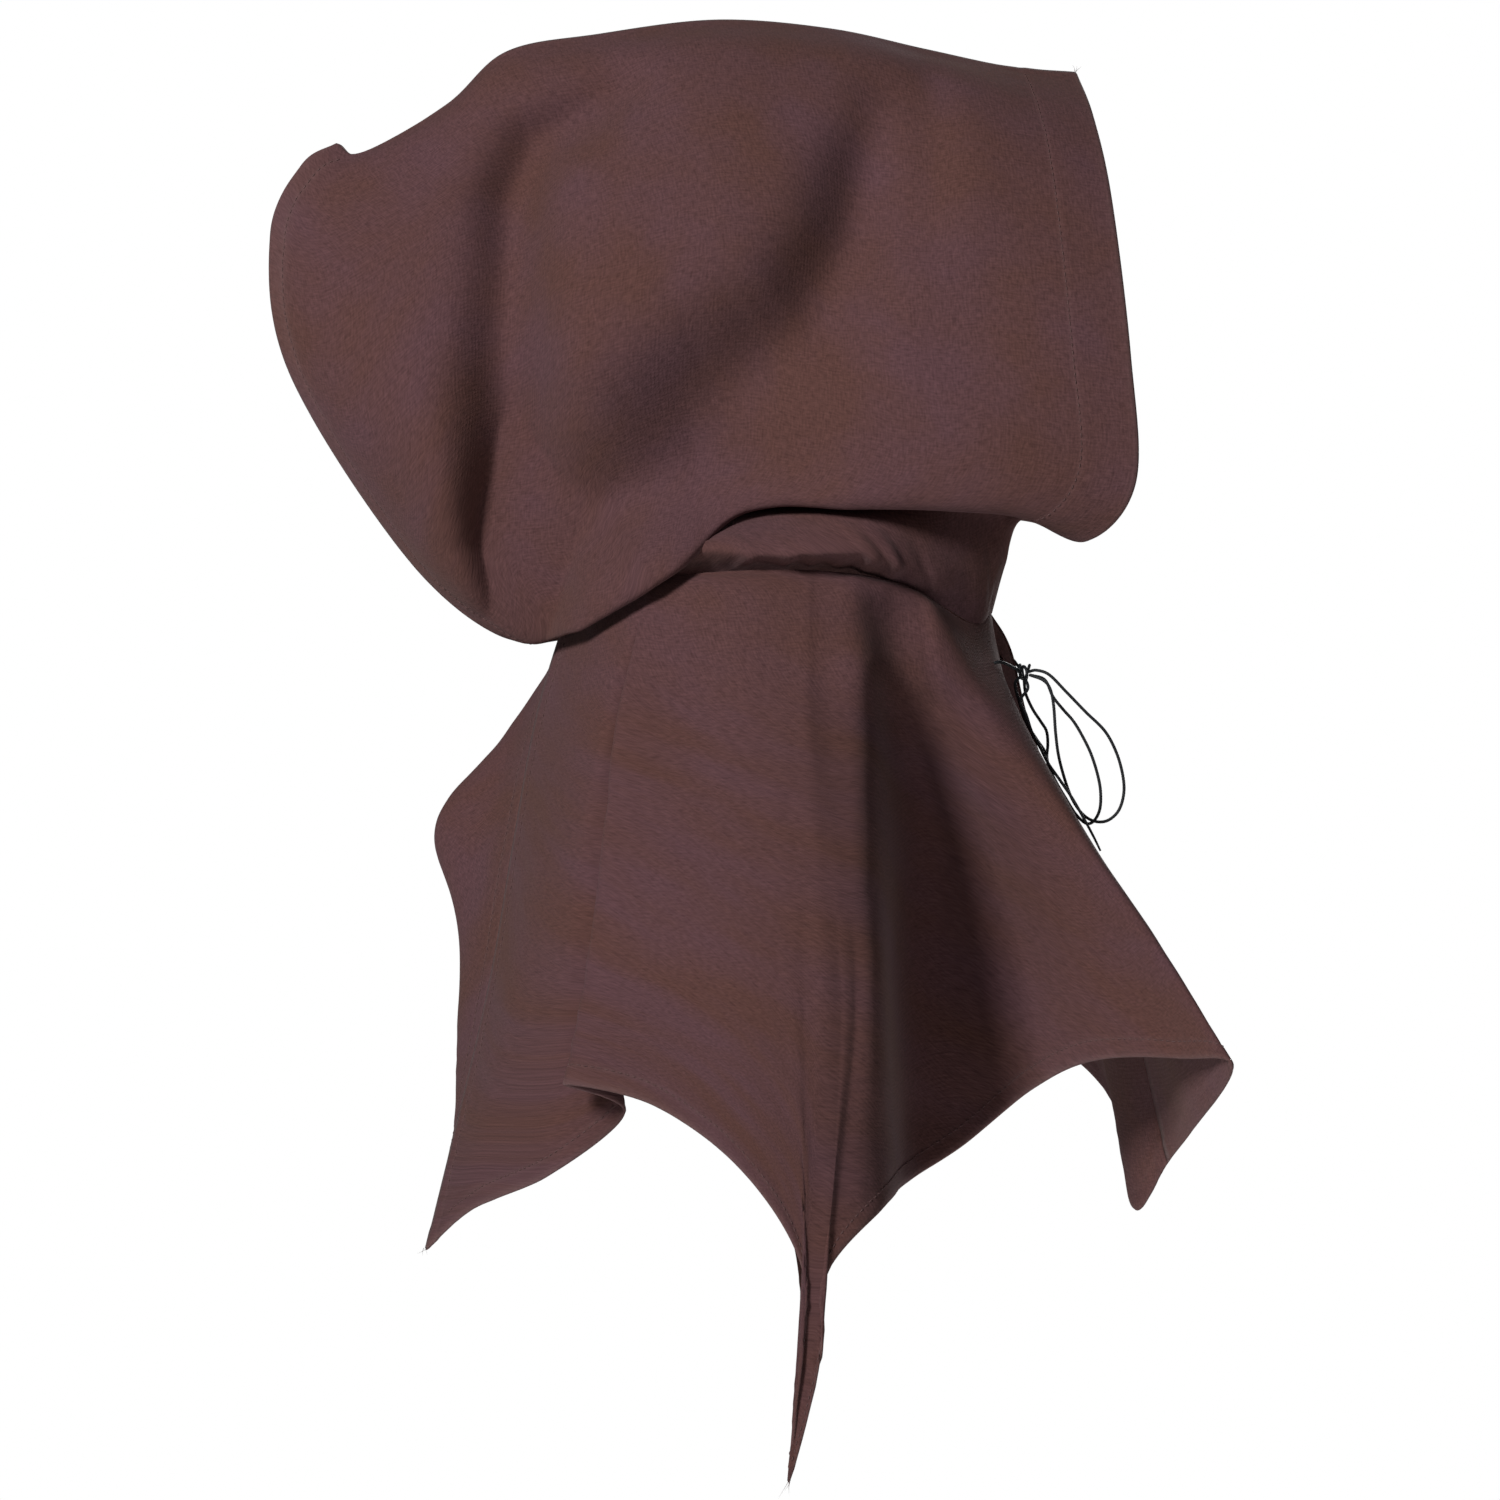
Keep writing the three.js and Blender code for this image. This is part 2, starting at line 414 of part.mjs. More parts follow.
// A solid from a geometry, for cutting.
function solidOf(geometry, wasm) {
  const plain = geometry.clone();
  plain.deleteAttribute('normal');
  plain.deleteAttribute('uv');
  const merged = mergeVertices(plain);
  return new wasm.Manifold(new wasm.Mesh({
    numProp: 3,
    vertProperties: new Float32Array(merged.attributes.position.array),
    triVerts: new Uint32Array(merged.index.array),
  }));
}

// The eyelet's centre on a cape panel and the direction square to the cloth there.
function eyelet(table, side) {
  const surface = capeSurface(table, side);
  const along = EYELET_PLACE.section / (table.length - 1);
  return {
    centre: surface(along, EYELET_PLACE.down),
    outward: outwardAt(surface, side, along, EYELET_PLACE.down),
  };
}

// Cuts the round eyelet for the tie through a cape panel.
function withEyelet(geometry, table, side, wasm) {
  const { centre, outward } = eyelet(table, side);
  const radius = CORD_DIAMETER / 2 + EYELET_CLEARANCE;
  const punch = new THREE.CylinderGeometry(radius, radius, WALL * PUNCH_REACH, CORD_SIDES);
  punch.applyQuaternion(new THREE.Quaternion().setFromUnitVectors(new THREE.Vector3(0, 1, 0), outward));
  punch.translate(...centre.toArray());
  const cut = solidOf(geometry, wasm).subtract(solidOf(punch, wasm)).getMesh();
  const result = new THREE.BufferGeometry();
  result.setAttribute('position', new THREE.BufferAttribute(cut.vertProperties, 3));
  result.setIndex(new THREE.BufferAttribute(cut.triVerts, 1));
  result.computeVertexNormals();
  return result;
}

// Where a cord that runs to or from a point meets the knot.
function atKnot(point) {
  const centre = new THREE.Vector3(...KNOT_CENTRE);
  return point.clone().sub(centre).setLength(KNOT_RADIUS + CORD_GAP).add(centre);
}

// The lace from the knot in through one eyelet, behind the throat, and back out through the other.
function laceRoute() {
  const throughEyelet = (table, side) => {
    const { centre, outward } = eyelet(table, side);
    return [LACE_REACH, 0, -LACE_REACH].map((reach) => centre.clone().addScaledVector(outward, reach));
  };
  const right = throughEyelet(CAPE_RIGHT, RIGHT);
  const left = throughEyelet(CAPE_LEFT, LEFT).reverse();
  const behind = right[2].clone().add(left[0]).multiplyScalar(0.5);
  behind.x -= LACE_SLACK;
  return [atKnot(right[0]), ...right, behind, ...left, atKnot(left[2])];
}

function cordGeometry(points, steps) {
  const outline = new THREE.Shape();
  outline.absarc(0, 0, CORD_DIAMETER / 2, 0, Math.PI * 2);
  return new THREE.ExtrudeGeometry(outline, {
    steps,
    curveSegments: CORD_SIDES / 2,
    extrudePath: new THREE.CatmullRomCurve3(points, false, 'centripetal'),
    bevelEnabled: false,
  });
}

const canvas = new THREE.MeshStandardMaterial({ color: 0x5d413f, roughness: 0.92, metalness: 0 });
const cord = new THREE.MeshStandardMaterial({ color: 0x1c1d20, roughness: 0.7, metalness: 0 });

const wasm = await Module();
wasm.setup();

const hood = new THREE.Group();

function addPiece(name, geometry, material) {
  const mesh = new THREE.Mesh(geometry, material);
  mesh.name = name;
  hood.add(mesh);
}

addPiece('hood_panel_right', hoodGeometry(RIGHT), canvas);
addPiece('hood_panel_left', hoodGeometry(LEFT), canvas);
addPiece('cape_panel_right', withEyelet(capeGeometry(CAPE_RIGHT, RIGHT), CAPE_RIGHT, RIGHT, wasm), canvas);
addPiece('cape_panel_left', withEyelet(capeGeometry(CAPE_LEFT, LEFT), CAPE_LEFT, LEFT, wasm), canvas);

const knot = new THREE.IcosahedronGeometry(KNOT_RADIUS, 1);
knot.translate(...KNOT_CENTRE);
addPiece('tie_knot', knot, cord);
const vectors = (route) => route.map((point) => new THREE.Vector3(...point));
addPiece('tie_lace', cordGeometry(laceRoute(), CORD_STEPS.tie_lace), cord);
for (const [name, route] of Object.entries(LOOP_ROUTES)) {
  const points = vectors(route);
  const ends = [atKnot(points[0]), atKnot(points[points.length - 1])];
  addPiece(name, cordGeometry([ends[0], ...points, ends[1]], CORD_STEPS[name]), cord);
}
for (const [name, route] of Object.entries(TAIL_ROUTES)) {
  const points = vectors(route);
  addPiece(name, cordGeometry([atKnot(points[0]), ...points], CORD_STEPS[name]), cord);
}

export default hood;
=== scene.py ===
# %% [markdown]
# # A canvas hood with a dagged cape
# The object is a worn hood of brown canvas: a head part with an empty point behind it, a shoulder
# cape cut into four long points, and a thin black tie at the throat. It floats in its worn form.
# The cloth could be simulated, but the folds have to fall where the photograph has them, so every
# panel is a surface worked out from a short table of sections, and finer folds are added to it.

import math

import bpy
import numpy as np
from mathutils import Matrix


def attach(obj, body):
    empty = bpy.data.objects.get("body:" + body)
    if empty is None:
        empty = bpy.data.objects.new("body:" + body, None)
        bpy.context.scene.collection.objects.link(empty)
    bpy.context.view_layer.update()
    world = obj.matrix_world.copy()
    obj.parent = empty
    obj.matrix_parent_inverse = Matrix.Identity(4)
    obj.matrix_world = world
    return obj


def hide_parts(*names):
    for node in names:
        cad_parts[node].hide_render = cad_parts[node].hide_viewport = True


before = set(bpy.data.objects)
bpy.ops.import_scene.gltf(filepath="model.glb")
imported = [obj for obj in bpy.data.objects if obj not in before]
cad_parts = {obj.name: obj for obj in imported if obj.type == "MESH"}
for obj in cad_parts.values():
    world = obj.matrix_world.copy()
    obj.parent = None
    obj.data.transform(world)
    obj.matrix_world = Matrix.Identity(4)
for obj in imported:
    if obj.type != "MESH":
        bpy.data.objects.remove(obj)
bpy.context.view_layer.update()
MM = 0.001

# %% [markdown]
# ## Camera
# The photograph is taken level, square to the wearer's right side, from far enough away for the
# near and far cloth to keep almost one scale. A long lens at the distance for which the side
# outline was read gives the same small perspective.

# %% Camera
VIEW_DISTANCE = 2200 * MM
VIEW_CENTRE_X = 15 * MM
VIEW_CENTRE_Z = -319 * MM
VIEW_WIDTH = 660 * MM
SENSOR = 36.0

camera_data = bpy.data.cameras.new("side_camera")
camera_data.sensor_width = SENSOR
camera_data.lens = SENSOR * VIEW_DISTANCE / VIEW_WIDTH
camera_data.clip_end = 50
camera = bpy.data.objects.new("side_camera", camera_data)
camera.location = (VIEW_CENTRE_X, -VIEW_DISTANCE, VIEW_CENTRE_Z)
camera.rotation_euler = (math.pi / 2, 0, 0)
bpy.context.scene.collection.objects.link(camera)
bpy.context.scene.camera = camera
print("lens, mm:", round(camera_data.lens, 1))

# %% [markdown]
# ## Curves through a few points
# Every shape here is a smooth curve or surface through a few given points. A Catmull-Rom
# curve passes through each of them, which keeps the tables readable: a number in a table is a
# place on the cloth. A simpler choice would be straight pieces and a Subdivision modifier, but
# then the cloth would miss its own outline.

# %% A smooth curve, for whole arrays
def through(points, t):
    """Catmull-Rom curve through evenly spaced points, at shares t of the way along.

    Between points b and c with neighbours a and d, at local share f:
    p = (f(-1+f(2-f)) a + (2+ff(-5+3f)) b + f(1+f(4-3f)) c + ff(f-1) d) / 2
    """
    points = np.asarray(points, float)
    last = len(points) - 1
    padded = np.concatenate([[2 * points[0] - points[1]], points, [2 * points[-1] - points[-2]]])
    place = np.clip(t, 0, 1) * last
    i = np.minimum(place.astype(int), last - 1)
    f = (place - i).reshape((-1,) + (1,) * (points.ndim - 1))
    return (
        f * (-1 + f * (2 - f)) * padded[i]
        + (2 + f * f * (3 * f - 5)) * padded[i + 1]
        + f * (1 + f * (4 - 3 * f)) * padded[i + 2]
        + f * f * (f - 1) * padded[i + 3]
    ) / 2


def bell(x, width):
    """exp(-(x / width)^2): 1 where x is 0, and fading away on both sides."""
    return np.exp(-((x / width) ** 2))


def travelled(path):
    """How far along the path each of its points is."""
    steps = np.linalg.norm(np.diff(path, axis=0), axis=1)
    return np.concatenate([[0], np.cumsum(steps)])


def at_distances(values, distances, wanted):
    """Values that are known at some distances along a path, blended at the wanted distances."""
    return np.stack([np.interp(wanted, distances, column) for column in values.T], axis=1)


def evenly(path, count):
    """The same path with count points spaced evenly along its length."""
    distances = travelled(path)
    return at_distances(path, distances, np.linspace(0, distances[-1], count))


def path_length(path):
    """The sum of the steps along a path."""
    return float(np.linalg.norm(np.diff(path, axis=0), axis=1).sum())


# %% [markdown]
# ## Meshes from grids
# A grid of points becomes a mesh by joining each point to its neighbours. The quads' corner numbers
# are worked out as one array, so no loop walks over the vertices. The grid's own two lengths, in
# metres along the threads, are kept as a UV map, for the weave to follow the cloth.

# %% Grid helpers
def unit(vectors):
    """Each vector divided by its own length."""
    return vectors / np.maximum(np.linalg.norm(vectors, axis=-1, keepdims=True), 1e-12)


def normals_of(grid):
    """Unit cross product of the grid's two slopes at each of its points."""
    return unit(np.cross(np.gradient(grid, axis=0), np.gradient(grid, axis=1)))


def quads(columns, rows, wrap=False, closed=False):
    """Corner numbers of the quads of a columns by rows grid.

    With wrap the last row is joined to the first, and with closed the last column too.
    """
    index = np.arange(columns * rows).reshape(columns, rows)
    if closed:
        index = np.concatenate([index, index[:1]])
    if wrap:
        index = np.concatenate([index, index[:, :1]], axis=1)
    a, b, c, d = index[:-1, :-1], index[:-1, 1:], index[1:, 1:], index[1:, :-1]
    return np.stack([a, b, c, d], axis=-1).reshape(-1, 4)


def mesh_object(name, points, faces, material):
    """A new object at the origin, from an array of points and an array of faces."""
    mesh = bpy.data.meshes.new(name)
    mesh.vertices.add(len(points))
    mesh.vertices.foreach_set("co", np.asarray(points, np.float32).ravel())
    sides = faces.shape[1]
    mesh.loops.add(faces.size)
    mesh.loops.foreach_set("vertex_index", faces.astype(np.int32).ravel())
    mesh.polygons.add(len(faces))
    mesh.polygons.foreach_set("loop_start", np.arange(0, faces.size, sides, dtype=np.int32))
    mesh.polygons.foreach_set("use_smooth", np.ones(len(faces), bool))
    mesh.update(calc_edges=True)
    mesh.materials.append(material)
    piece = bpy.data.objects.new(name, mesh)
    bpy.context.scene.collection.objects.link(piece)
    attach(piece, "root")
    return piece


def set_uv(piece, per_point):
    """Gives each corner of the mesh its point's pair of numbers as the UV map cloth."""
    mesh = piece.data
    corner_points = np.empty(len(mesh.loops), np.int32)
    mesh.loops.foreach_get("vertex_index", corner_points)
    layer = mesh.uv_layers.new(name="cloth")
    layer.data.foreach_set("uv", per_point[corner_points].astype(np.float32).ravel())


def set_value(piece, name, per_point):
    """Stores one number for each point as an attribute that a material can read."""
    attribute = piece.data.attributes.new(name, "FLOAT", "POINT")
    attribute.data.foreach_set("value", per_point.astype(np.float32))


# %% [markdown]
# ## The tie cord's finish
# The tie is a thin black cord, twisted from three strands. The twist itself is in the mesh; the
# material adds the dull fibre of the strands, with a faint lighter bloom where they rub.

# %% Node helper and cord material
def new_material(name):
    """An empty node material: its tree, its Principled shader and a function that adds nodes."""
    material = bpy.data.materials.new(name)
    material.use_nodes = True
    tree = material.node_tree
    shader = tree.nodes["Principled BSDF"]

    def node(kind, inputs=None, **settings):
        made = tree.nodes.new(kind)
        for key, value in settings.items():
            setattr(made, key, value)
        for key, value in (inputs or {}).items():
            if isinstance(value, bpy.types.NodeSocket):
                tree.links.new(value, made.inputs[key])
            else:
                made.inputs[key].default_value = value
        return made

    return material, tree, shader, node


def two_tone(node, value, low, dark, high, light):
    """A colour ramp that is dark where the value is low and light where it is high."""
    ramp = node("ShaderNodeValToRGB", {"Fac": value})
    for stop, position, colour in zip(ramp.color_ramp.elements, (low, high), (dark, light)):
        stop.position = position
        stop.color = (*colour, 1)
    return ramp.outputs["Color"]


def cord_material():
    """Near-black twisted thread: fine noise on Object coordinates in colour and bump."""
    material, tree, shader, node = new_material("black_cord")
    place = node("ShaderNodeTexCoord")
    fibre = node("ShaderNodeTexNoise", {"Vector": place.outputs["Object"], "Scale": 2600.0, "Detail": 3.0})
    tone = two_tone(node, fibre.outputs["Fac"], 0.3, (0.007, 0.008, 0.010), 0.75, (0.026, 0.029, 0.034))
    bump = node("ShaderNodeBump", {"Height": fibre.outputs["Fac"], "Strength": 0.5, "Distance": 0.0001})
    tree.links.new(tone, shader.inputs["Base Color"])
    tree.links.new(bump.outputs["Normal"], shader.inputs["Normal"])
    shader.inputs["Roughness"].default_value = 0.62
    shader.inputs["Specular IOR Level"].default_value = 0.4
    return material


black_cord = cord_material()
print("made", black_cord.name)

# %% [markdown]
# ## The tie
# One cord is laced through an eyelet on each side of the throat and tied in a bow: two loops and two
# free tails hang from the knot. A curve object with a round bevel would do, but a twisted cord is a
# profile with three bumps that turns as it is carried along the path, so it is worked out here.

# %% The tie's routes, in millimetres
CORD_DIAMETER = 1.3
CORD_GAP = 0.3
CORD_STEP = 0.6  # between the rings of a cord's mesh
KNOT_RADIUS = 3.0
KNOT_CENTRE = np.array([135.0, -5.0, -285.0])
LOOP_ROUTES = {
    "tie_loop_long": [(140.5, -11, -284.1), (145.9, -13, -286.1), (153.1, -14, -293.4),
                      (161.7, -14, -302.3), (170.2, -14, -310.8), (175.3, -14, -320.4),
                      (178, -14, -330.2), (178.4, -14, -338.1), (176.2, -14, -345.4),
                      (171.6, -14, -349.7), (166.3, -13.5, -350.3), (161.1, -13, -347.6),
                      (156.5, -12.5, -341.5), (153.3, -12, -333.6), (150.2, -12, -322.3),
                      (148.8, -11.5, -311.8), (147.9, -11, -299.3), (146.3, -11, -292),
                      (143.2, -10.5, -288.3)],
    "tie_loop_short": [(144.5, -4, -288.2), (148.1, -4, -295.6), (152.8, -4, -301.5), (157.3, -4, -306.7),
                       (161.7, -4, -314.2), (165, -4, -321.3), (167.6, -4, -329.6), (168.9, -4.5, -336.9),
                       (168.6, -5, -344.8), (166, -5, -350.1), (162.6, -5, -351.2), (158.3, -5, -347.5),
                       (154.4, -5, -341.5), (149.7, -5, -333.6), (146.8, -5, -327.6),
                       (145.4, -4.5, -322.4), (145.8, -4, -316.4), (145.2, -4, -310.7),
                       (142.5, -4, -306.2), (139.6, -3.5, -301.8), (137.3, -3, -297.2),
                       (135.9, -3, -293.2)],
}
TAIL_ROUTES = {
    "tie_tail_long": [(136.5, -14, -292), (132.9, -20, -297.4), (135.2, -24, -303.7),
                      (137.4, -28, -311.1), (140.8, -32, -317.9), (144.2, -35, -324.9),
                      (148.8, -38, -331.7), (154.2, -41, -339.9), (159.6, -45, -349.8),
                      (163.2, -46, -356.7), (166, -46, -362.5)],
    "tie_tail_short": [(131, -12, -290), (132.7, -15, -298), (135.3, -19, -306.6), (139.8, -22, -314.2),
                       (143.3, -25, -319.7), (144.3, -27, -325.6)],
}


def at_knot(point):
    """Where a cord that runs to or from a point meets the knot."""
    return KNOT_CENTRE + unit(np.asarray(point, float) - KNOT_CENTRE) * (KNOT_RADIUS + CORD_GAP)


def cord_path(points):
    """A path in metres through a route's points, with a point at every cord step."""
    fine = through(points, np.linspace(0, 1, 60 * len(points)))
    return evenly(fine, max(int(path_length(fine) / CORD_STEP), 12)) * MM


# %% Twisted cord mesh
STRANDS = 3
TWIST_LENGTH = 3.4 * MM
CORD_SIDES = 15


def twisted_cord(name, path, taper=0.0):
    """A round profile carried along the path, closed by a point at each end.

    Around the profile at angle a and distance s along it, the radius is
    r (1.04 + 0.07 cos(strands (a - 2 pi s / twist))).
    """
    tangent = unit(np.gradient(path, axis=0))
    level = unit(np.cross(tangent, [0.0, 1.0, 0.02]))
    upright = np.cross(tangent, level)
    s = travelled(path)[:, None]
    angle = np.linspace(0, 2 * np.pi, CORD_SIDES, endpoint=False)[None, :]
    ribs = 1.04 + 0.07 * np.cos(STRANDS * (angle - 2 * np.pi * s / TWIST_LENGTH))
    radius = CORD_DIAMETER / 2 * MM * ribs * (1 - taper * (s / s[-1]) ** 8)
    around = radius[..., None] * (
        np.cos(angle)[..., None] * level[:, None] + np.sin(angle)[..., None] * upright[:, None]
    )
    ring = (path[:, None] + around).reshape(-1, 3)
    points = np.concatenate([ring, path[:1], path[-1:]])
    side_faces = quads(len(path), CORD_SIDES, wrap=True)
    this = np.arange(CORD_SIDES)
    following = np.roll(this, -1)
    last_ring = len(ring) - CORD_SIDES
    start_cap = np.stack([this, following, np.full(CORD_SIDES, len(ring))], axis=1)
    end_cap = np.stack([following + last_ring, this + last_ring, np.full(CORD_SIDES, len(ring) + 1)], axis=1)
    triangles = np.concatenate([side_faces[:, [0, 1, 2]], side_faces[:, [0, 2, 3]], start_cap, end_cap])
    return mesh_object(name, points, triangles, black_cord)


# %% Loops and tails
TAIL_TAPER = 0.35  # share of its thickness that a tail loses at its very end


def tie_piece(name, path, taper=0.0):
    """A twisted cord along the path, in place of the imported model's cord of that name."""
    piece = twisted_cord(name.replace("tie", "cord"), path, taper=taper)
    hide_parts(name)
    print(piece.name, "length, mm:", round(path_length(path) * 1000))


for name, route in LOOP_ROUTES.items():
    path = cord_path([at_knot(route[0]), *np.array(route, float), at_knot(route[-1])])
    tie_piece(name, path)
for name, route in TAIL_ROUTES.items():
    path = cord_path([at_knot(route[0]), *np.array(route, float)])
    tie_piece(name, path, taper=TAIL_TAPER)

# %% [markdown]
# ## The cloth's sections
# These are the sections of the hood from the face edge to the back seam, and of each half of the
# cape from the throat to the back seam. Each point is forward, out and down, as shares of a named
# size, so that a size can be changed and the shape follows. Points are read as the camera sees
# them, and a point nearer to the camera is drawn in towards the middle of the view to stand at its
# real place.

# %% Sizes of the cloth, in millimetres
HOOD_LENGTH = 382
HOOD_HEIGHT = 274
HOOD_HALF_WIDTH = 100
NECK_DROP = 250
NECK_LENGTH = 182
NECK_WIDTH = 132
NECK_CENTRE = 30
NECK_TILT = 16  # how much lower the neck seam is at the throat than at the side
NECK_SAG = 10
SAG_ANGLE = 31  # degrees
SAG_SPREAD = 17  # degrees
CAPE_LENGTH = 352
CAPE_DROP = 391
CAPE_HALF_WIDTH = 150
PRESS_LIMIT = 0.6  # share of its distance from the middle plane that the hood may be pressed in
# Share of a section's lift for each place, because the lip lifts most.
LEFT_LIFT = {"jaw": 0.5, "lip": 1, "tuck": 1, "roll": 0.5}
RIGHT = -1
LEFT = 1

# %% Sections of the hood
def named(columns, rows):
    """A table's rows, each as a dict from the names of the columns to its values."""
    return [dict(zip(columns, row)) for row in rows]


# Angle is in degrees round the neck from the throat, and lift is how much higher the left half's lip
# stands. The other columns are points, from the top seam down.
HOOD_PLACES = ["top", "brow", "crown", "cheek", "jaw", "lip", "tuck", "roll"]
HOOD_COLUMNS = ["angle", "lift"] + HOOD_PLACES
HOOD_RIBS = named(HOOD_COLUMNS, [
    (7, 0.029, [0.414, 0, 0.078], [0.433, 0.42, 0.146], [0.454, 0.74, 0.277], [0.476, 0.98, 0.529],
     [0.482, 0.97, 0.734], [0.427, 0.8, 0.827], [0.353, 0.52, 0.792], [0.332, 0.28, 0.865]),
    (25, 0.022, [0.34, 0, 0.069], [0.353, 0.42, 0.124], [0.366, 0.74, 0.255], [0.385, 0.98, 0.518],
     [0.387, 0.98, 0.701], [0.361, 0.87, 0.788], [0.325, 0.5, 0.77], [0.314, 0.4, 0.872]),
    (45, 0.011, [0.241, 0, 0.04], [0.249, 0.41, 0.088], [0.254, 0.72, 0.226], [0.267, 0.98, 0.504],
     [0.272, 0.99, 0.686], [0.27, 0.89, 0.777], [0.264, 0.58, 0.755], [0.259, 0.56, 0.869]),
    (68, 0, [0.131, 0, 0.007], [0.132, 0.38, 0.055], [0.134, 0.69, 0.201], [0.144, 0.98, 0.482],
     [0.157, 0.99, 0.675], [0.16, 0.91, 0.772], [0.162, 0.6, 0.752], [0.168, 0.76, 0.839]),
    (92, 0, [0, 0, -0.007], [-0.004, 0.35, 0.044], [-0.008, 0.64, 0.19], [-0.013, 0.93, 0.467],
     [0.005, 0.96, 0.668], [0.031, 0.89, 0.774], [0.047, 0.6, 0.759], [0.058, 0.76, 0.839]),
    (118, 0, [-0.136, 0, 0.016], [-0.144, 0.26, 0.073], [-0.152, 0.5, 0.212], [-0.162, 0.76, 0.482],
     [-0.118, 0.88, 0.712], [-0.058, 0.82, 0.876], [-0.034, 0.66, 0.843], [-0.031, 0.65, 0.832]),
    (140, 0, [-0.241, 0, 0.044], [-0.254, 0.18, 0.102], [-0.272, 0.32, 0.241], [-0.288, 0.5, 0.504],
     [-0.236, 0.64, 0.766], [-0.152, 0.58, 0.956], [-0.123, 0.5, 0.901], [-0.11, 0.45, 0.858]),
    (152, 0, [-0.309, 0, 0.128], [-0.33, 0.14, 0.182], [-0.353, 0.25, 0.303], [-0.364, 0.38, 0.547],
     [-0.288, 0.5, 0.81], [-0.183, 0.45, 0.974], [-0.149, 0.39, 0.912], [-0.131, 0.34, 0.861]),
    (166, 0, [-0.406, 0, 0.208], [-0.429, 0.07, 0.245], [-0.45, 0.13, 0.354], [-0.437, 0.19, 0.566],
     [-0.325, 0.26, 0.847], [-0.217, 0.22, 0.989], [-0.178, 0.2, 0.92], [-0.154, 0.17, 0.865]),
    (180, 0, [-0.435, 0, 0.193], [-0.476, 0, 0.228], [-0.512, 0, 0.339], [-0.49, 0, 0.558],
     [-0.351, 0, 0.861], [-0.236, 0, 0.985], [-0.188, 0, 0.923], [-0.168, 0, 0.869]),
])
print("hood sections:", len(HOOD_RIBS))

# %% Soft folds of the hood
HOOD_FOLDS = [
    dict(path=[[0.19, 0.154], [0.169, 0.267], [0.153, 0.371], [0.103, 0.507], [0.023, 0.588],
           [-0.069, 0.668], [-0.132, 0.74], [-0.19, 0.813]],
         depth=[0.08, 0.2, 0.25, 0.28, 0.28, 0.26, 0.22, 0.14],
         spread=[0.04, 0.05, 0.056, 0.07, 0.08, 0.08, 0.075, 0.065]),
    dict(path=[[-0.113, 0.132], [-0.202, 0.206], [-0.227, 0.299], [-0.229, 0.443], [-0.234, 0.604],
           [-0.232, 0.829], [-0.215, 0.96]], depth=[0.12, 0.2, 0.24, 0.26, 0.32, 0.36, 0.14],
         spread=[0.036, 0.04, 0.043, 0.048, 0.052, 0.048, 0.036]),
    dict(path=[[0.075, 0.732], [-0.017, 0.748], [-0.109, 0.788], [-0.179, 0.861]],
         depth=[0.1, 0.22, 0.22, 0.12], spread=[0.055, 0.07, 0.06, 0.05]),
    dict(path=[[0.242, 0.106], [0.242, 0.251], [0.236, 0.363]], depth=[0.05, 0.07, 0.05],
         spread=[0.03, 0.032, 0.03]),
]

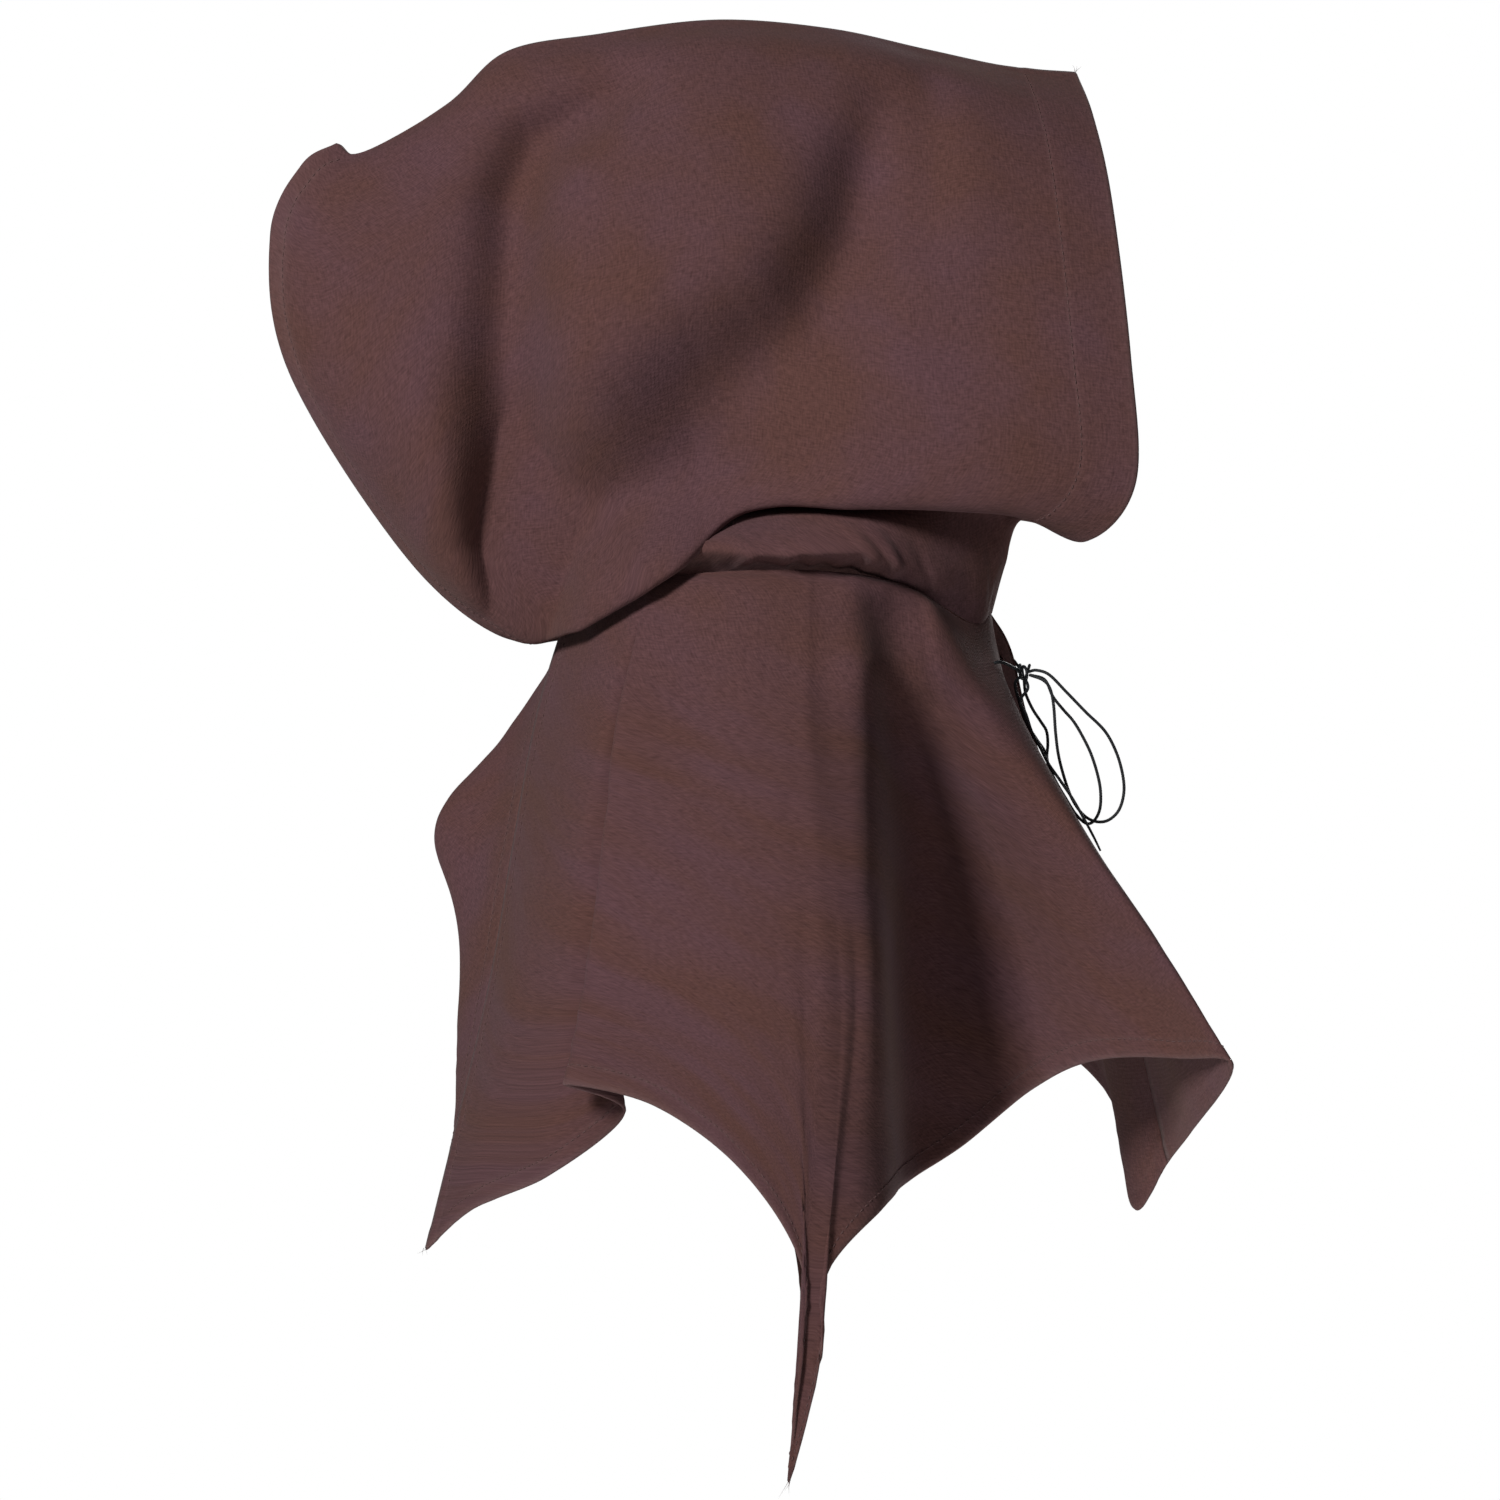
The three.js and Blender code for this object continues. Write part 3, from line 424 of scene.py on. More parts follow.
# %% Sections of the cape, right
CAPE_PLACES = ["collar", "upper", "middle", "lower", "hem"]
CAPE_COLUMNS = ["angle"] + CAPE_PLACES
CAPE_RIGHT = named(CAPE_COLUMNS, [
    (7, [0.351, 0.067, 0.064], [0.379, 0.053, 0.153], [0.449, 0, 0.286], [0.514, 0, 0.445],
     [0.565, 0, 0.639]),
    (14, [0.344, 0.147, 0.069], [0.392, 0.233, 0.164], [0.477, 0.373, 0.292], [0.565, 0.493, 0.412],
     [0.645, 0.6, 0.535]),
    (28, [0.321, 0.267, 0.079], [0.349, 0.307, 0.143], [0.418, 0.333, 0.266], [0.497, 0.38, 0.396],
     [0.577, 0.453, 0.522]),
    (42, [0.278, 0.367, 0.031], [0.301, 0.3, 0.138], [0.358, 0.247, 0.269], [0.42, 0.247, 0.394],
     [0.474, 0.307, 0.524]),
    (49, [0.253, 0.38, 0.015], [0.273, 0.273, 0.138], [0.318, 0.18, 0.269], [0.358, 0.153, 0.402],
     [0.398, 0.207, 0.555]),
    (56, [0.224, 0.4, 0.008], [0.239, 0.253, 0.138], [0.27, 0.127, 0.269], [0.287, 0.073, 0.414],
     [0.31, 0.113, 0.619]),
    (63, [0.202, 0.433, 0.005], [0.213, 0.327, 0.138], [0.224, 0.247, 0.276], [0.23, 0.207, 0.43],
     [0.241, 0.247, 0.66]),
    (70, [0.173, 0.48, 0], [0.188, 0.56, 0.143], [0.199, 0.653, 0.286], [0.207, 0.733, 0.455],
     [0.21, 0.8, 0.689]),
    (77, [0.142, 0.493, 0.005], [0.142, 0.62, 0.148], [0.159, 0.753, 0.302], [0.17, 0.847, 0.486],
     [0.138, 0.933, 0.767]),
    (81, [0.125, 0.5, 0.008], [0.125, 0.64, 0.148], [0.142, 0.773, 0.304], [0.153, 0.873, 0.499],
     [0.128, 0.973, 0.875]),
    (84, [0.114, 0.507, 0.008], [0.114, 0.653, 0.148], [0.125, 0.787, 0.307], [0.134, 0.893, 0.512],
     [0.091, 0.993, 1]),
    (87, [0.098, 0.507, 0.008], [0.095, 0.653, 0.148], [0.102, 0.787, 0.307], [0.112, 0.893, 0.501],
     [0.107, 0.98, 0.87]),
    (91, [0.082, 0.507, 0.008], [0.077, 0.653, 0.148], [0.08, 0.787, 0.307], [0.091, 0.893, 0.486],
     [0.107, 0.953, 0.757]),
    (100, [0.04, 0.5, 0.005], [0.028, 0.64, 0.148], [0.023, 0.767, 0.302], [0.026, 0.867, 0.46],
     [0.034, 0.92, 0.65]),
    (112, [-0.017, 0.467, 0.005], [-0.034, 0.6, 0.148], [-0.057, 0.713, 0.286], [-0.071, 0.787, 0.435],
     [-0.077, 0.833, 0.575]),
    (122, [-0.08, 0.4, 0.008], [-0.119, 0.547, 0.148], [-0.136, 0.64, 0.281], [-0.159, 0.693, 0.422],
     [-0.188, 0.72, 0.552]),
    (126, [-0.088, 0.387, 0.008], [-0.114, 0.493, 0.148], [-0.131, 0.573, 0.281], [-0.136, 0.627, 0.43],
     [-0.114, 0.613, 0.583]),
    (132, [-0.102, 0.36, 0.01], [-0.142, 0.467, 0.148], [-0.17, 0.52, 0.286], [-0.19, 0.547, 0.448],
     [-0.205, 0.547, 0.652]),
    (150, [-0.142, 0.247, 0.018], [-0.182, 0.293, 0.148], [-0.216, 0.307, 0.294], [-0.256, 0.293, 0.473],
     [-0.301, 0.24, 0.691]),
    (180, [-0.188, 0, 0.031], [-0.224, 0, 0.141], [-0.253, 0, 0.286], [-0.287, 0, 0.46],
     [-0.361, 0, 0.737]),
])

# %% Sections of the cape, left
CAPE_LEFT = named(CAPE_COLUMNS, [
    (7, [0.368, 0.053, 0.064], [0.393, 0.033, 0.153], [0.449, 0, 0.286], [0.514, 0, 0.445],
     [0.565, 0, 0.639]),
    (14, [0.361, 0.12, 0.066], [0.389, 0.16, 0.159], [0.435, 0.187, 0.286], [0.486, 0.18, 0.46],
     [0.523, 0.16, 0.691]),
    (28, [0.318, 0.28, 0.061], [0.347, 0.36, 0.143], [0.392, 0.413, 0.269], [0.44, 0.413, 0.409],
     [0.497, 0.32, 0.573]),
    (42, [0.276, 0.36, 0.051], [0.293, 0.44, 0.143], [0.335, 0.52, 0.261], [0.381, 0.573, 0.384],
     [0.426, 0.587, 0.512]),
    (49, [0.25, 0.38, 0.041], [0.259, 0.433, 0.143], [0.301, 0.507, 0.261], [0.338, 0.56, 0.389],
     [0.372, 0.593, 0.524]),
    (56, [0.224, 0.4, 0.031], [0.227, 0.44, 0.143], [0.267, 0.493, 0.261], [0.295, 0.547, 0.396],
     [0.318, 0.6, 0.542]),
    (63, [0.199, 0.44, 0.023], [0.199, 0.52, 0.143], [0.23, 0.6, 0.269], [0.253, 0.653, 0.409],
     [0.267, 0.713, 0.575]),
    (70, [0.173, 0.473, 0.015], [0.173, 0.587, 0.143], [0.193, 0.693, 0.276], [0.207, 0.76, 0.422],
     [0.213, 0.827, 0.614]),
    (77, [0.142, 0.493, 0.01], [0.142, 0.627, 0.143], [0.156, 0.753, 0.281], [0.162, 0.84, 0.435],
     [0.148, 0.933, 0.716]),
    (84, [0.114, 0.507, 0.008], [0.114, 0.653, 0.143], [0.122, 0.787, 0.286], [0.128, 0.893, 0.455],
     [0.116, 1, 0.852]),
    (91, [0.082, 0.507, 0.008], [0.077, 0.653, 0.143], [0.077, 0.787, 0.286], [0.082, 0.893, 0.435],
     [0.094, 0.96, 0.721]),
    (102, [0.034, 0.5, 0.005], [0.023, 0.64, 0.143], [0.014, 0.76, 0.276], [0.017, 0.853, 0.414],
     [0.023, 0.933, 0.583]),
    (116, [-0.034, 0.453, 0.005], [-0.057, 0.587, 0.138], [-0.077, 0.693, 0.261], [-0.085, 0.773, 0.384],
     [-0.085, 0.84, 0.512]),
    (130, [-0.085, 0.387, 0.008], [-0.128, 0.507, 0.138], [-0.165, 0.587, 0.261], [-0.182, 0.64, 0.379],
     [-0.185, 0.693, 0.499]),
    (145, [-0.125, 0.267, 0.018], [-0.205, 0.4, 0.138], [-0.278, 0.467, 0.261], [-0.273, 0.507, 0.404],
     [-0.27, 0.52, 0.542]),
    (160, [-0.159, 0.14, 0.031], [-0.256, 0.267, 0.153], [-0.349, 0.313, 0.266], [-0.301, 0.34, 0.399],
     [-0.31, 0.347, 0.593]),
    (170, [-0.176, 0.073, 0.031], [-0.239, 0.147, 0.143], [-0.29, 0.167, 0.276], [-0.321, 0.173, 0.478],
     [-0.321, 0.16, 0.66]),
    (180, [-0.188, 0, 0.031], [-0.224, 0, 0.141], [-0.253, 0, 0.286], [-0.287, 0, 0.46],
     [-0.361, 0, 0.737]),
])
print("cape sections:", len(CAPE_RIGHT), len(CAPE_LEFT))

# %% [markdown]
# ## From the tables to middle surfaces
# A table is a net of points: its rows cross the cloth, its columns run along it. The smooth curve is
# carried first down every section and then across the sections, which gives the cloth's middle
# surface for as fine a grid as wanted.

# %% Nets and surfaces
def angles_of(table):
    """The angle round the neck of each section of a table."""
    return np.array([row["angle"] for row in table], float)


def shares_of(table, places):
    """The points of a table: section by place by forward, out and down."""
    return np.array([[row[place] for place in places] for row in table], float)


def from_view(points):
    """Points as the camera sees them, scaled about the middle of the view by (D + y) / D."""
    scale = (VIEW_DISTANCE / MM + points[..., 1:2]) / (VIEW_DISTANCE / MM)
    centre = np.array([VIEW_CENTRE_X, 0, VIEW_CENTRE_Z]) / MM
    drawn_in = centre + (points - centre) * scale
    drawn_in[..., 1] = points[..., 1]
    return drawn_in


def neck_ring(angles, side):
    """An ellipse in plan that dips by tilt cos^2 at the throat and half as much at the nape.

    The right half also sags by a bell beside the throat, where the cape's fold starts.
    """
    turn = np.radians(angles)
    dip = np.where(np.cos(turn) > 0, NECK_TILT, NECK_TILT / 2) * np.cos(turn) ** 2
    if side == RIGHT:
        dip = dip + NECK_SAG * bell(angles - SAG_ANGLE, SAG_SPREAD)
    return np.stack([
        NECK_CENTRE + NECK_LENGTH / 2 * np.cos(turn),
        side * NECK_WIDTH / 2 * np.sin(turn),
        -NECK_DROP + NECK_TILT / 2 - dip,
    ], axis=-1)


def neck_outward(angles, side):
    """The level direction square to the neck seam."""
    turn = np.radians(angles)
    return unit(np.stack([np.cos(turn) / NECK_LENGTH, side * np.sin(turn) / NECK_WIDTH, 0 * turn], axis=-1))


def pushed(points, push):
    """Points moved away from the camera by push along its lines of sight, so the outline stays."""
    centre = np.array([VIEW_CENTRE_X, 0, VIEW_CENTRE_Z]) / MM
    distance = VIEW_DISTANCE / MM + points[..., 1]
    moved = centre + (points - centre) * ((distance + push) / distance)[..., None]
    moved[..., 1] = points[..., 1] + push
    return moved


def surface(net, u, v):
    """The net's smooth surface at every pair of the shares u (across) and v (down)."""
    sections = through(np.swapaxes(net, 0, 1), v)
    return through(np.swapaxes(sections, 0, 1), u)


def hood_net(side):
    """The hood's net in millimetres. The left one is its mirror image with the lip a little higher."""
    shares = shares_of(HOOD_RIBS, HOOD_PLACES)
    if side == LEFT:
        lifts = np.array([rib["lift"] for rib in HOOD_RIBS])
        shares[..., 2] -= lifts[:, None] * np.array([LEFT_LIFT.get(place, 0) for place in HOOD_PLACES])
    seen = shares * [HOOD_LENGTH, -HOOD_HALF_WIDTH, -HOOD_HEIGHT]
    real = from_view(seen) * [1, -side, 1]
    ring = neck_ring(angles_of(HOOD_RIBS), side)
    return np.concatenate([real, ring[:, None]], axis=1)


def cape_net(table, side):
    """The cape's net in millimetres, from the neck seam down to the hem."""
    below_neck = shares_of(table, CAPE_PLACES) * [CAPE_LENGTH, side * CAPE_HALF_WIDTH, -CAPE_DROP]
    seen = below_neck - [0, 0, NECK_DROP]
    ring = neck_ring(angles_of(table), side)
    return np.concatenate([ring[:, None], from_view(seen)], axis=1)


# %% [markdown]
# ## Shallow hollows that only show as light and shade
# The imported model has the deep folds. These broad, shallow ones turn the cloth a little towards the
# light or away from it, as the photograph shows. A negative depth stands out.

# %% Shallow folds
HOOD_HOLLOWS = [
    # a broad hollow below the diagonal fold
    dict(path=[[0.202, 0.54], [0.132, 0.652], [0.029, 0.732], [-0.086, 0.78]],
         depth=[0.1, 0.16, 0.17, 0.1], spread=[0.11, 0.13, 0.13, 0.1]),
    # the foot of the fold behind
    dict(path=[[-0.192, 0.652], [-0.211, 0.796], [-0.208, 0.925]],
         depth=[0.1, 0.24, 0.28], spread=[0.06, 0.058, 0.05]),
    # the fuller back of the empty point
    dict(path=[[-0.443, 0.267], [-0.461, 0.427], [-0.42, 0.588]],
         depth=[-0.08, -0.1, -0.08], spread=[0.11, 0.12, 0.11]),
]
CAPE_HOLLOWS = [
    # the front fold stands further out as it falls
    dict(path=[[0.309, 0.099], [0.36, 0.206], [0.421, 0.315], [0.494, 0.431], [0.562, 0.515]],
         depth=[-0.045, -0.06, -0.08, -0.12, -0.14], spread=[0.07, 0.08, 0.09, 0.12, 0.13]),
    # the floor of the front valley
    dict(path=[[0.251, 0.234], [0.276, 0.307], [0.292, 0.425], [0.306, 0.56]],
         depth=[0.03, 0.11, 0.16, 0.15], spread=[0.045, 0.06, 0.075, 0.09]),
    # the wall behind the valley stays full down to the hem
    dict(path=[[0.209, 0.2], [0.217, 0.301], [0.223, 0.414], [0.228, 0.526]],
         depth=[-0.04, -0.06, -0.06, -0.05], spread=[0.04, 0.045, 0.05, 0.05]),
    # the cloth is still full where the valley starts
    dict(path=[[0.201, 0.022], [0.211, 0.076], [0.224, 0.138]],
         depth=[-0.11, -0.13, -0.06], spread=[0.055, 0.055, 0.05]),
]

# %% [markdown]
# ## Folds and wrinkles
# A fold is a hollow or a ridge along a path on the cloth. It is deepest on the path, fades with the
# distance from it as a bell curve, and dies away at both ends. Small random unevenness comes from a
# lattice of random numbers blended smoothly, always from the same seed.

# %% Fold and noise fields
def near_path(across, down, path, spread, depth):
    """depth * exp(-(d / spread)^2) for the distance d to the path.

    Depth and spread have one number for each point of the path and are blended between them.
    """
    path = np.asarray(path, float)
    best = np.full(across.shape, np.inf)
    wide = np.ones(across.shape)
    deep = np.zeros(across.shape)
    for i, (a, b) in enumerate(zip(path[:-1], path[1:])):
        way = b - a
        t = np.clip(((across - a[0]) * way[0] + (down - a[1]) * way[1]) / (way @ way), 0, 1)
        distance = np.hypot(across - a[0] - t * way[0], down - a[1] - t * way[1])
        closer = distance < best
        best = np.where(closer, distance, best)
        wide = np.where(closer, spread[i] + (spread[i + 1] - spread[i]) * t, wide)
        deep = np.where(closer, depth[i] + (depth[i + 1] - depth[i]) * t, deep)
    return deep * bell(best, wide)


def fold_depths(folds, grid, length, drop, half_width, start=0):
    """The depth of all the folds at each grid point, in millimetres, from shares of the sizes."""
    total = np.zeros(grid.shape[:2])
    for fold in folds:
        path = np.array(fold["path"]) * [length, -drop] - [0, start]
        spread = np.array(fold["spread"]) * length
        depth = np.array(fold["depth"]) * half_width
        total += near_path(grid[..., 0], grid[..., 2], path, spread, depth)
    return total


def soft_noise(a, b, size, seed):
    """Random numbers on a lattice of that size, blended by s = ff(3 - 2f) both ways."""
    values = np.random.default_rng(seed).uniform(-1, 1, (64, 64))
    i, j = np.floor(a / size).astype(int), np.floor(b / size).astype(int)
    f, g = a / size - i, b / size - j
    f, g = f * f * (3 - 2 * f), g * g * (3 - 2 * g)
    top = values[i % 64, j % 64] * (1 - f) + values[(i + 1) % 64, j % 64] * f
    bottom = values[i % 64, (j + 1) % 64] * (1 - f) + values[(i + 1) % 64, (j + 1) % 64] * f
    return top * (1 - g) + bottom * g


def rise(x, low, high):
    """0 below low, 1 above high, and s = tt(3 - 2t) between."""
    t = np.clip((x - low) / (high - low), 0, 1)
    return t * t * (3 - 2 * t)


def threads(grid):
    """How far each grid point is along the cloth both ways, in millimetres."""
    across = np.linalg.norm(np.diff(grid, axis=0, prepend=grid[:1]), axis=-1).cumsum(axis=0)
    down = np.linalg.norm(np.diff(grid, axis=1, prepend=grid[:, :1]), axis=-1).cumsum(axis=1)
    return across, down


# %% [markdown]
# ## A panel of cloth with its own thickness
# The cloth could be a single sheet with a Solidify modifier, but a hem is two or three layers thick
# and a seam has its turned edges under it. So the thickness is a number at each point of the grid:
# the outer and inner faces stand half of it from the middle surface, and a rounded rim closes them.

# %% Panel builder
CLOTH = 1.0  # thickness of the canvas, in millimetres
INNER_WEAR_AND_HIGHLIGHT = 0.4  # share of the outer face's wear and painted highlight that shows on the inner face


def own_side(grid, side):
    """The grid with no point past the middle plane, where the two halves meet."""
    grid[..., 1] = side * np.maximum(side * grid[..., 1], 0.0)
    return grid


def in_middle_plane(directions):
    """Directions laid in the middle plane."""
    return unit(directions * [1, 0, 1])


def closed_wall(outer, inner, rim, side):
    """Points and faces of the wall between two grids, closed by the rim's line of points."""
    columns, rows = outer.shape[:2]
    count = columns * rows
    index = np.arange(count).reshape(columns, rows)
    border = np.concatenate([index[0, :-1], index[:-1, -1], index[-1, :0:-1], index[:0:-1, 0]])
    following = np.roll(border, -1)
    k = 2 * count + np.arange(len(border))
    k_next = np.roll(k, -1)
    face = quads(columns, rows)
    walls = np.concatenate([
        face,
        face[:, ::-1] + count,
        np.stack([border, k, k_next, following], axis=1),
        np.stack([k, border + count, following + count, k_next], axis=1),
    ])
    if side == RIGHT:
        walls = walls[:, ::-1]
    points = np.concatenate([outer.reshape(-1, 3), inner.reshape(-1, 3), rim.reshape(-1, 3)[border]])
    return points, walls, border


def build_panel(name, middle, side, outward, thickness, bulge, wear_and_highlight):
    """One panel and its outer face: half its thickness each side of the middle surface.

    The rim stands out by bulge times half the thickness.
    """
    half = thickness[..., None] / 2
    outer = middle + outward * half
    inner = middle - outward * half
    inwards = middle.copy()
    inwards[0], inwards[-1] = middle[1], middle[-2]
    away = unit(middle - inwards)
    away[:, -1] = unit(middle[:, -1] - middle[:, -2])
    rim = middle + away * (bulge * thickness / 2)[..., None]
    points, faces, border = closed_wall(outer, inner, rim, side)
    piece = mesh_object(name, points * MM, faces, brown_canvas)
    flat = np.stack(threads(middle), axis=-1).reshape(-1, 2) * MM
    set_uv(piece, np.concatenate([flat, flat, flat[border]]))
    clipped_wear_and_highlight = np.clip(wear_and_highlight, 0, 1).reshape(-1)
    set_value(piece, "wear_and_highlight", np.concatenate([clipped_wear_and_highlight, clipped_wear_and_highlight * INNER_WEAR_AND_HIGHLIGHT, clipped_wear_and_highlight[border]]))
    print(name, "quads:", len(faces))
    return piece, outer


# %% [markdown]
# ## Sewing thread
# Every seam and hem has its row of stitches. A stitch is a short piece of thread that rises from the
# cloth and dips into it again, so all the stitches of a row are one array of five-ring tubes laid
# along a line on the cloth. The same tubes, made longer, are the threads that fray from the points.

# %% Thread tubes
THREAD_RADIUS = 0.27
FRAYED_RADIUS = 0.11
STITCH_PITCH = 3.2
STITCH_HALF_LENGTH = 0.36  # share of the pitch
STITCH_PROFILE = np.array([-1, -0.62, 0, 0.62, 1])


def thread_material():
    """Matt sewing thread, a little lighter than the cloth, with a fibre noise."""
    material, tree, shader, node = new_material("brown_thread")
    place = node("ShaderNodeTexCoord")
    fibre = node("ShaderNodeTexNoise", {"Vector": place.outputs["Object"], "Scale": 1800.0, "Detail": 2.0})
    tone = two_tone(node, fibre.outputs["Fac"], 0.3, (0.09, 0.042, 0.04), 0.7, (0.17, 0.09, 0.087))
    tree.links.new(tone, shader.inputs["Base Color"])
    shader.inputs["Roughness"].default_value = 0.8
    return material


brown_thread = thread_material()
print("made", brown_thread.name)


def thread_tubes(lines, outward, radius):
    """Points and faces of closed six-sided tubes along lines, an array of tube by ring by xyz."""
    count, rings = lines.shape[:2]
    tangent = unit(np.gradient(lines, axis=1))
    level = unit(outward - tangent * (outward * tangent).sum(axis=-1, keepdims=True))
    upright = np.cross(tangent, level)
    angle = np.linspace(0, 2 * np.pi, 7)[:-1]
    turn = [np.cos(angle)[:, None], np.sin(angle)[:, None]]
    around = turn[0] * level[:, :, None] + turn[1] * upright[:, :, None]
    points = lines[:, :, None] + around * np.broadcast_to(radius, (count, rings))[..., None, None]
    cap = np.array([[0, 1, 2, 3], [0, 3, 4, 5]])
    one = np.concatenate([quads(rings, 6, wrap=True), cap[:, ::-1], cap + 6 * (rings - 1)])
    faces = one[None] + (np.arange(count) * rings * 6)[:, None, None]
    return points.reshape(-1, 3), faces.reshape(-1, 4)


def line_at(measure, distance, *grids):
    """Where measure, which grows from column to column, reaches distance: a line on each grid."""
    after = np.maximum((measure >= distance).argmax(axis=0), 1)
    rows = np.arange(measure.shape[1])
    low, high = measure[after - 1, rows], measure[after, rows]
    share = np.clip((distance - low) / np.maximum(high - low, 1e-9), 0, 1)[:, None]
    return [grid[after - 1, rows] * (1 - share) + grid[after, rows] * share for grid in grids]


def stitch_row(line, outward):
    """Tubes for a row of stitches. Along one, s = -1 to 1, it stands r (1.4 (1 - ss) - 0.5) high."""
    distances = travelled(line)
    count = int(distances[-1] / STITCH_PITCH)
    middles = (np.arange(count) + 0.5) * STITCH_PITCH
    wanted = (middles[:, None] + STITCH_PROFILE * STITCH_PITCH * STITCH_HALF_LENGTH).ravel()
    up = unit(at_distances(outward, distances, wanted)).reshape(count, 5, 3)
    height = THREAD_RADIUS * (1.4 * (1 - STITCH_PROFILE**2) - 0.5)
    centres = at_distances(line, distances, wanted).reshape(count, 5, 3) + up * height[:, None]
    return thread_tubes(centres, up, THREAD_RADIUS * np.sqrt(1.06 - STITCH_PROFILE**2))


def frayed(tip, direction, count, length, seed):
    """Thin threads from a tip of the cloth, each bending its own way."""
    random = np.random.default_rng(seed)
    s = np.linspace(0, 1, 9)[None, :, None]
    lead = unit(np.array(direction, float) + random.uniform(-0.35, 0.35, (count, 1, 3)))
    bend = random.uniform(-0.6, 0.6, (count, 1, 3))
    reach = length * random.uniform(0.5, 1, (count, 1, 1))
    roots = np.array(tip, float) + random.uniform(-0.5, 0.5, (count, 1, 3))
    lines = roots + reach * (s * lead + s * s * bend)
    level = np.broadcast_to([0.1, 0.99, 0.1], lines.shape)
    return thread_tubes(lines, level, FRAYED_RADIUS * (1.1 - np.linspace(0, 1, 9)))


def sewing(name, parts):
    """One piece from several sets of thread tubes."""
    starts = np.cumsum([0] + [len(points) for points, faces in parts])
    points = np.concatenate([points for points, faces in parts])
    faces = np.concatenate([part_faces + start for (_, part_faces), start in zip(parts, starts)])
    piece = mesh_object(name, points * MM, faces, brown_thread)
    print(name, "faces:", len(faces))
    return piece


# %% [markdown]
# ## The canvas
# The cloth is a mid-weight cotton canvas in a plain weave, dyed a brown that has gone a little
# purple, with matt fibres that catch some light at a glancing angle. Two crossing sets of stretched
# noise give the uneven threads without the shimmer of a perfect grid, and a third, longer one gives
# their slubs. A fine grid of waves adds the over and under of the weave, and slow noise shifts the
# dye. All of it reads the panel's own map of its threads, so the weave bends with the cloth. A
# per-point attribute lightens worn edges and seams, and also holds a painted highlight beside the
# hood's back seam at the crown.

# %% Canvas material
def canvas_material():
    """Plain-weave canvas: thread noise both ways, a fine weave, mottled dye, worn edges and a painted
    highlight.
    """
    material, tree, shader, node = new_material("brown_canvas")
    cloth = node("ShaderNodeUVMap", uv_map="cloth")

    def thread_noise(along, across, detail):
        stretch = node("ShaderNodeMapping", {"Vector": cloth.outputs["UV"], "Scale": (along, across, 1)})
        place = stretch.outputs["Vector"]
        return node("ShaderNodeTexNoise", {"Vector": place, "Scale": 1.0, "Detail": detail})

    weft = thread_noise(280.0, 1200.0, 2.0)
    warp = thread_noise(1200.0, 280.0, 2.0)
    slub = thread_noise(45.0, 700.0, 1.0)

    def waves(direction):
        return node("ShaderNodeTexWave", {"Vector": cloth.outputs["UV"], "Scale": 175.0, "Distortion": 1.5,
                                          "Detail": 1.0, "Detail Scale": 3.0}, bands_direction=direction)

    def mix(a, b, share, blend="MIX"):
        colours = {0: share, 6: a, 7: b}
        return node("ShaderNodeMix", colours, data_type="RGBA", blend_type=blend).outputs[2]

    def maths(operation, a, b):
        return node("ShaderNodeMath", {0: a, 1: b}, operation=operation).outputs[0]

    crossing = maths("MULTIPLY", waves("X").outputs["Fac"], waves("Y").outputs["Fac"])
    noises = maths("ADD", weft.outputs["Fac"], warp.outputs["Fac"])
    height = maths("ADD", maths("MULTIPLY", noises, 0.6), maths("MULTIPLY", crossing, 0.35))
    height = maths("ADD", height, maths("MULTIPLY", slub.outputs["Fac"], 0.25))

    mottle = node("ShaderNodeTexNoise", {"Vector": cloth.outputs["UV"], "Scale": 17.0, "Detail": 5.0})
    dye = two_tone(node, mottle.outputs["Fac"], 0.36, (0.121, 0.053, 0.045), 0.64, (0.124, 0.058, 0.065))
    thread_tone = two_tone(node, maths("MULTIPLY", noises, 0.5),
                           0.32, (0.66, 0.64, 0.64), 0.66, (1.22, 1.22, 1.22))
    coloured = mix(dye, thread_tone, 1.0, "MULTIPLY")

    # Worn edges and seams turn a lighter, greyer brown here, and so does the painted highlight band at the
    # hood's crown.
    wear_and_highlight = node("ShaderNodeAttribute", attribute_name="wear_and_highlight")
    breakup = node("ShaderNodeTexNoise", {"Vector": cloth.outputs["UV"], "Scale": 420.0, "Detail": 3.0})
    rubbed_and_highlit = maths("MULTIPLY", wear_and_highlight.outputs["Fac"], breakup.outputs["Fac"])
    finished = mix(coloured, (0.215, 0.128, 0.125, 1), rubbed_and_highlit)
    bump = node("ShaderNodeBump", {"Height": height, "Strength": 0.55, "Distance": 0.00035})
    tree.links.new(finished, shader.inputs["Base Color"])
    tree.links.new(bump.outputs["Normal"], shader.inputs["Normal"])
    shader.inputs["Roughness"].default_value = 0.93
    shader.inputs["Specular IOR Level"].default_value = 0.25
    shader.inputs["Sheen Weight"].default_value = 0.08
    shader.inputs["Sheen Roughness"].default_value = 0.5
    shader.inputs["Sheen Tint"].default_value = (1.0, 0.82, 0.8, 1)
    return material


brown_canvas = canvas_material()
print("made", brown_canvas.name)

# %% [markdown]
# ## The hood
# Two halves are sewn along the top and down the back. They mirror each other, apart from the far
# half's slightly higher lip and the near half's small sag beside the throat. The face edge is turned
# back in a wide hem. Behind the head the halves hang empty and fall into two long soft hollows, and
# at the bottom the cloth rolls under before it reaches the neck seam.

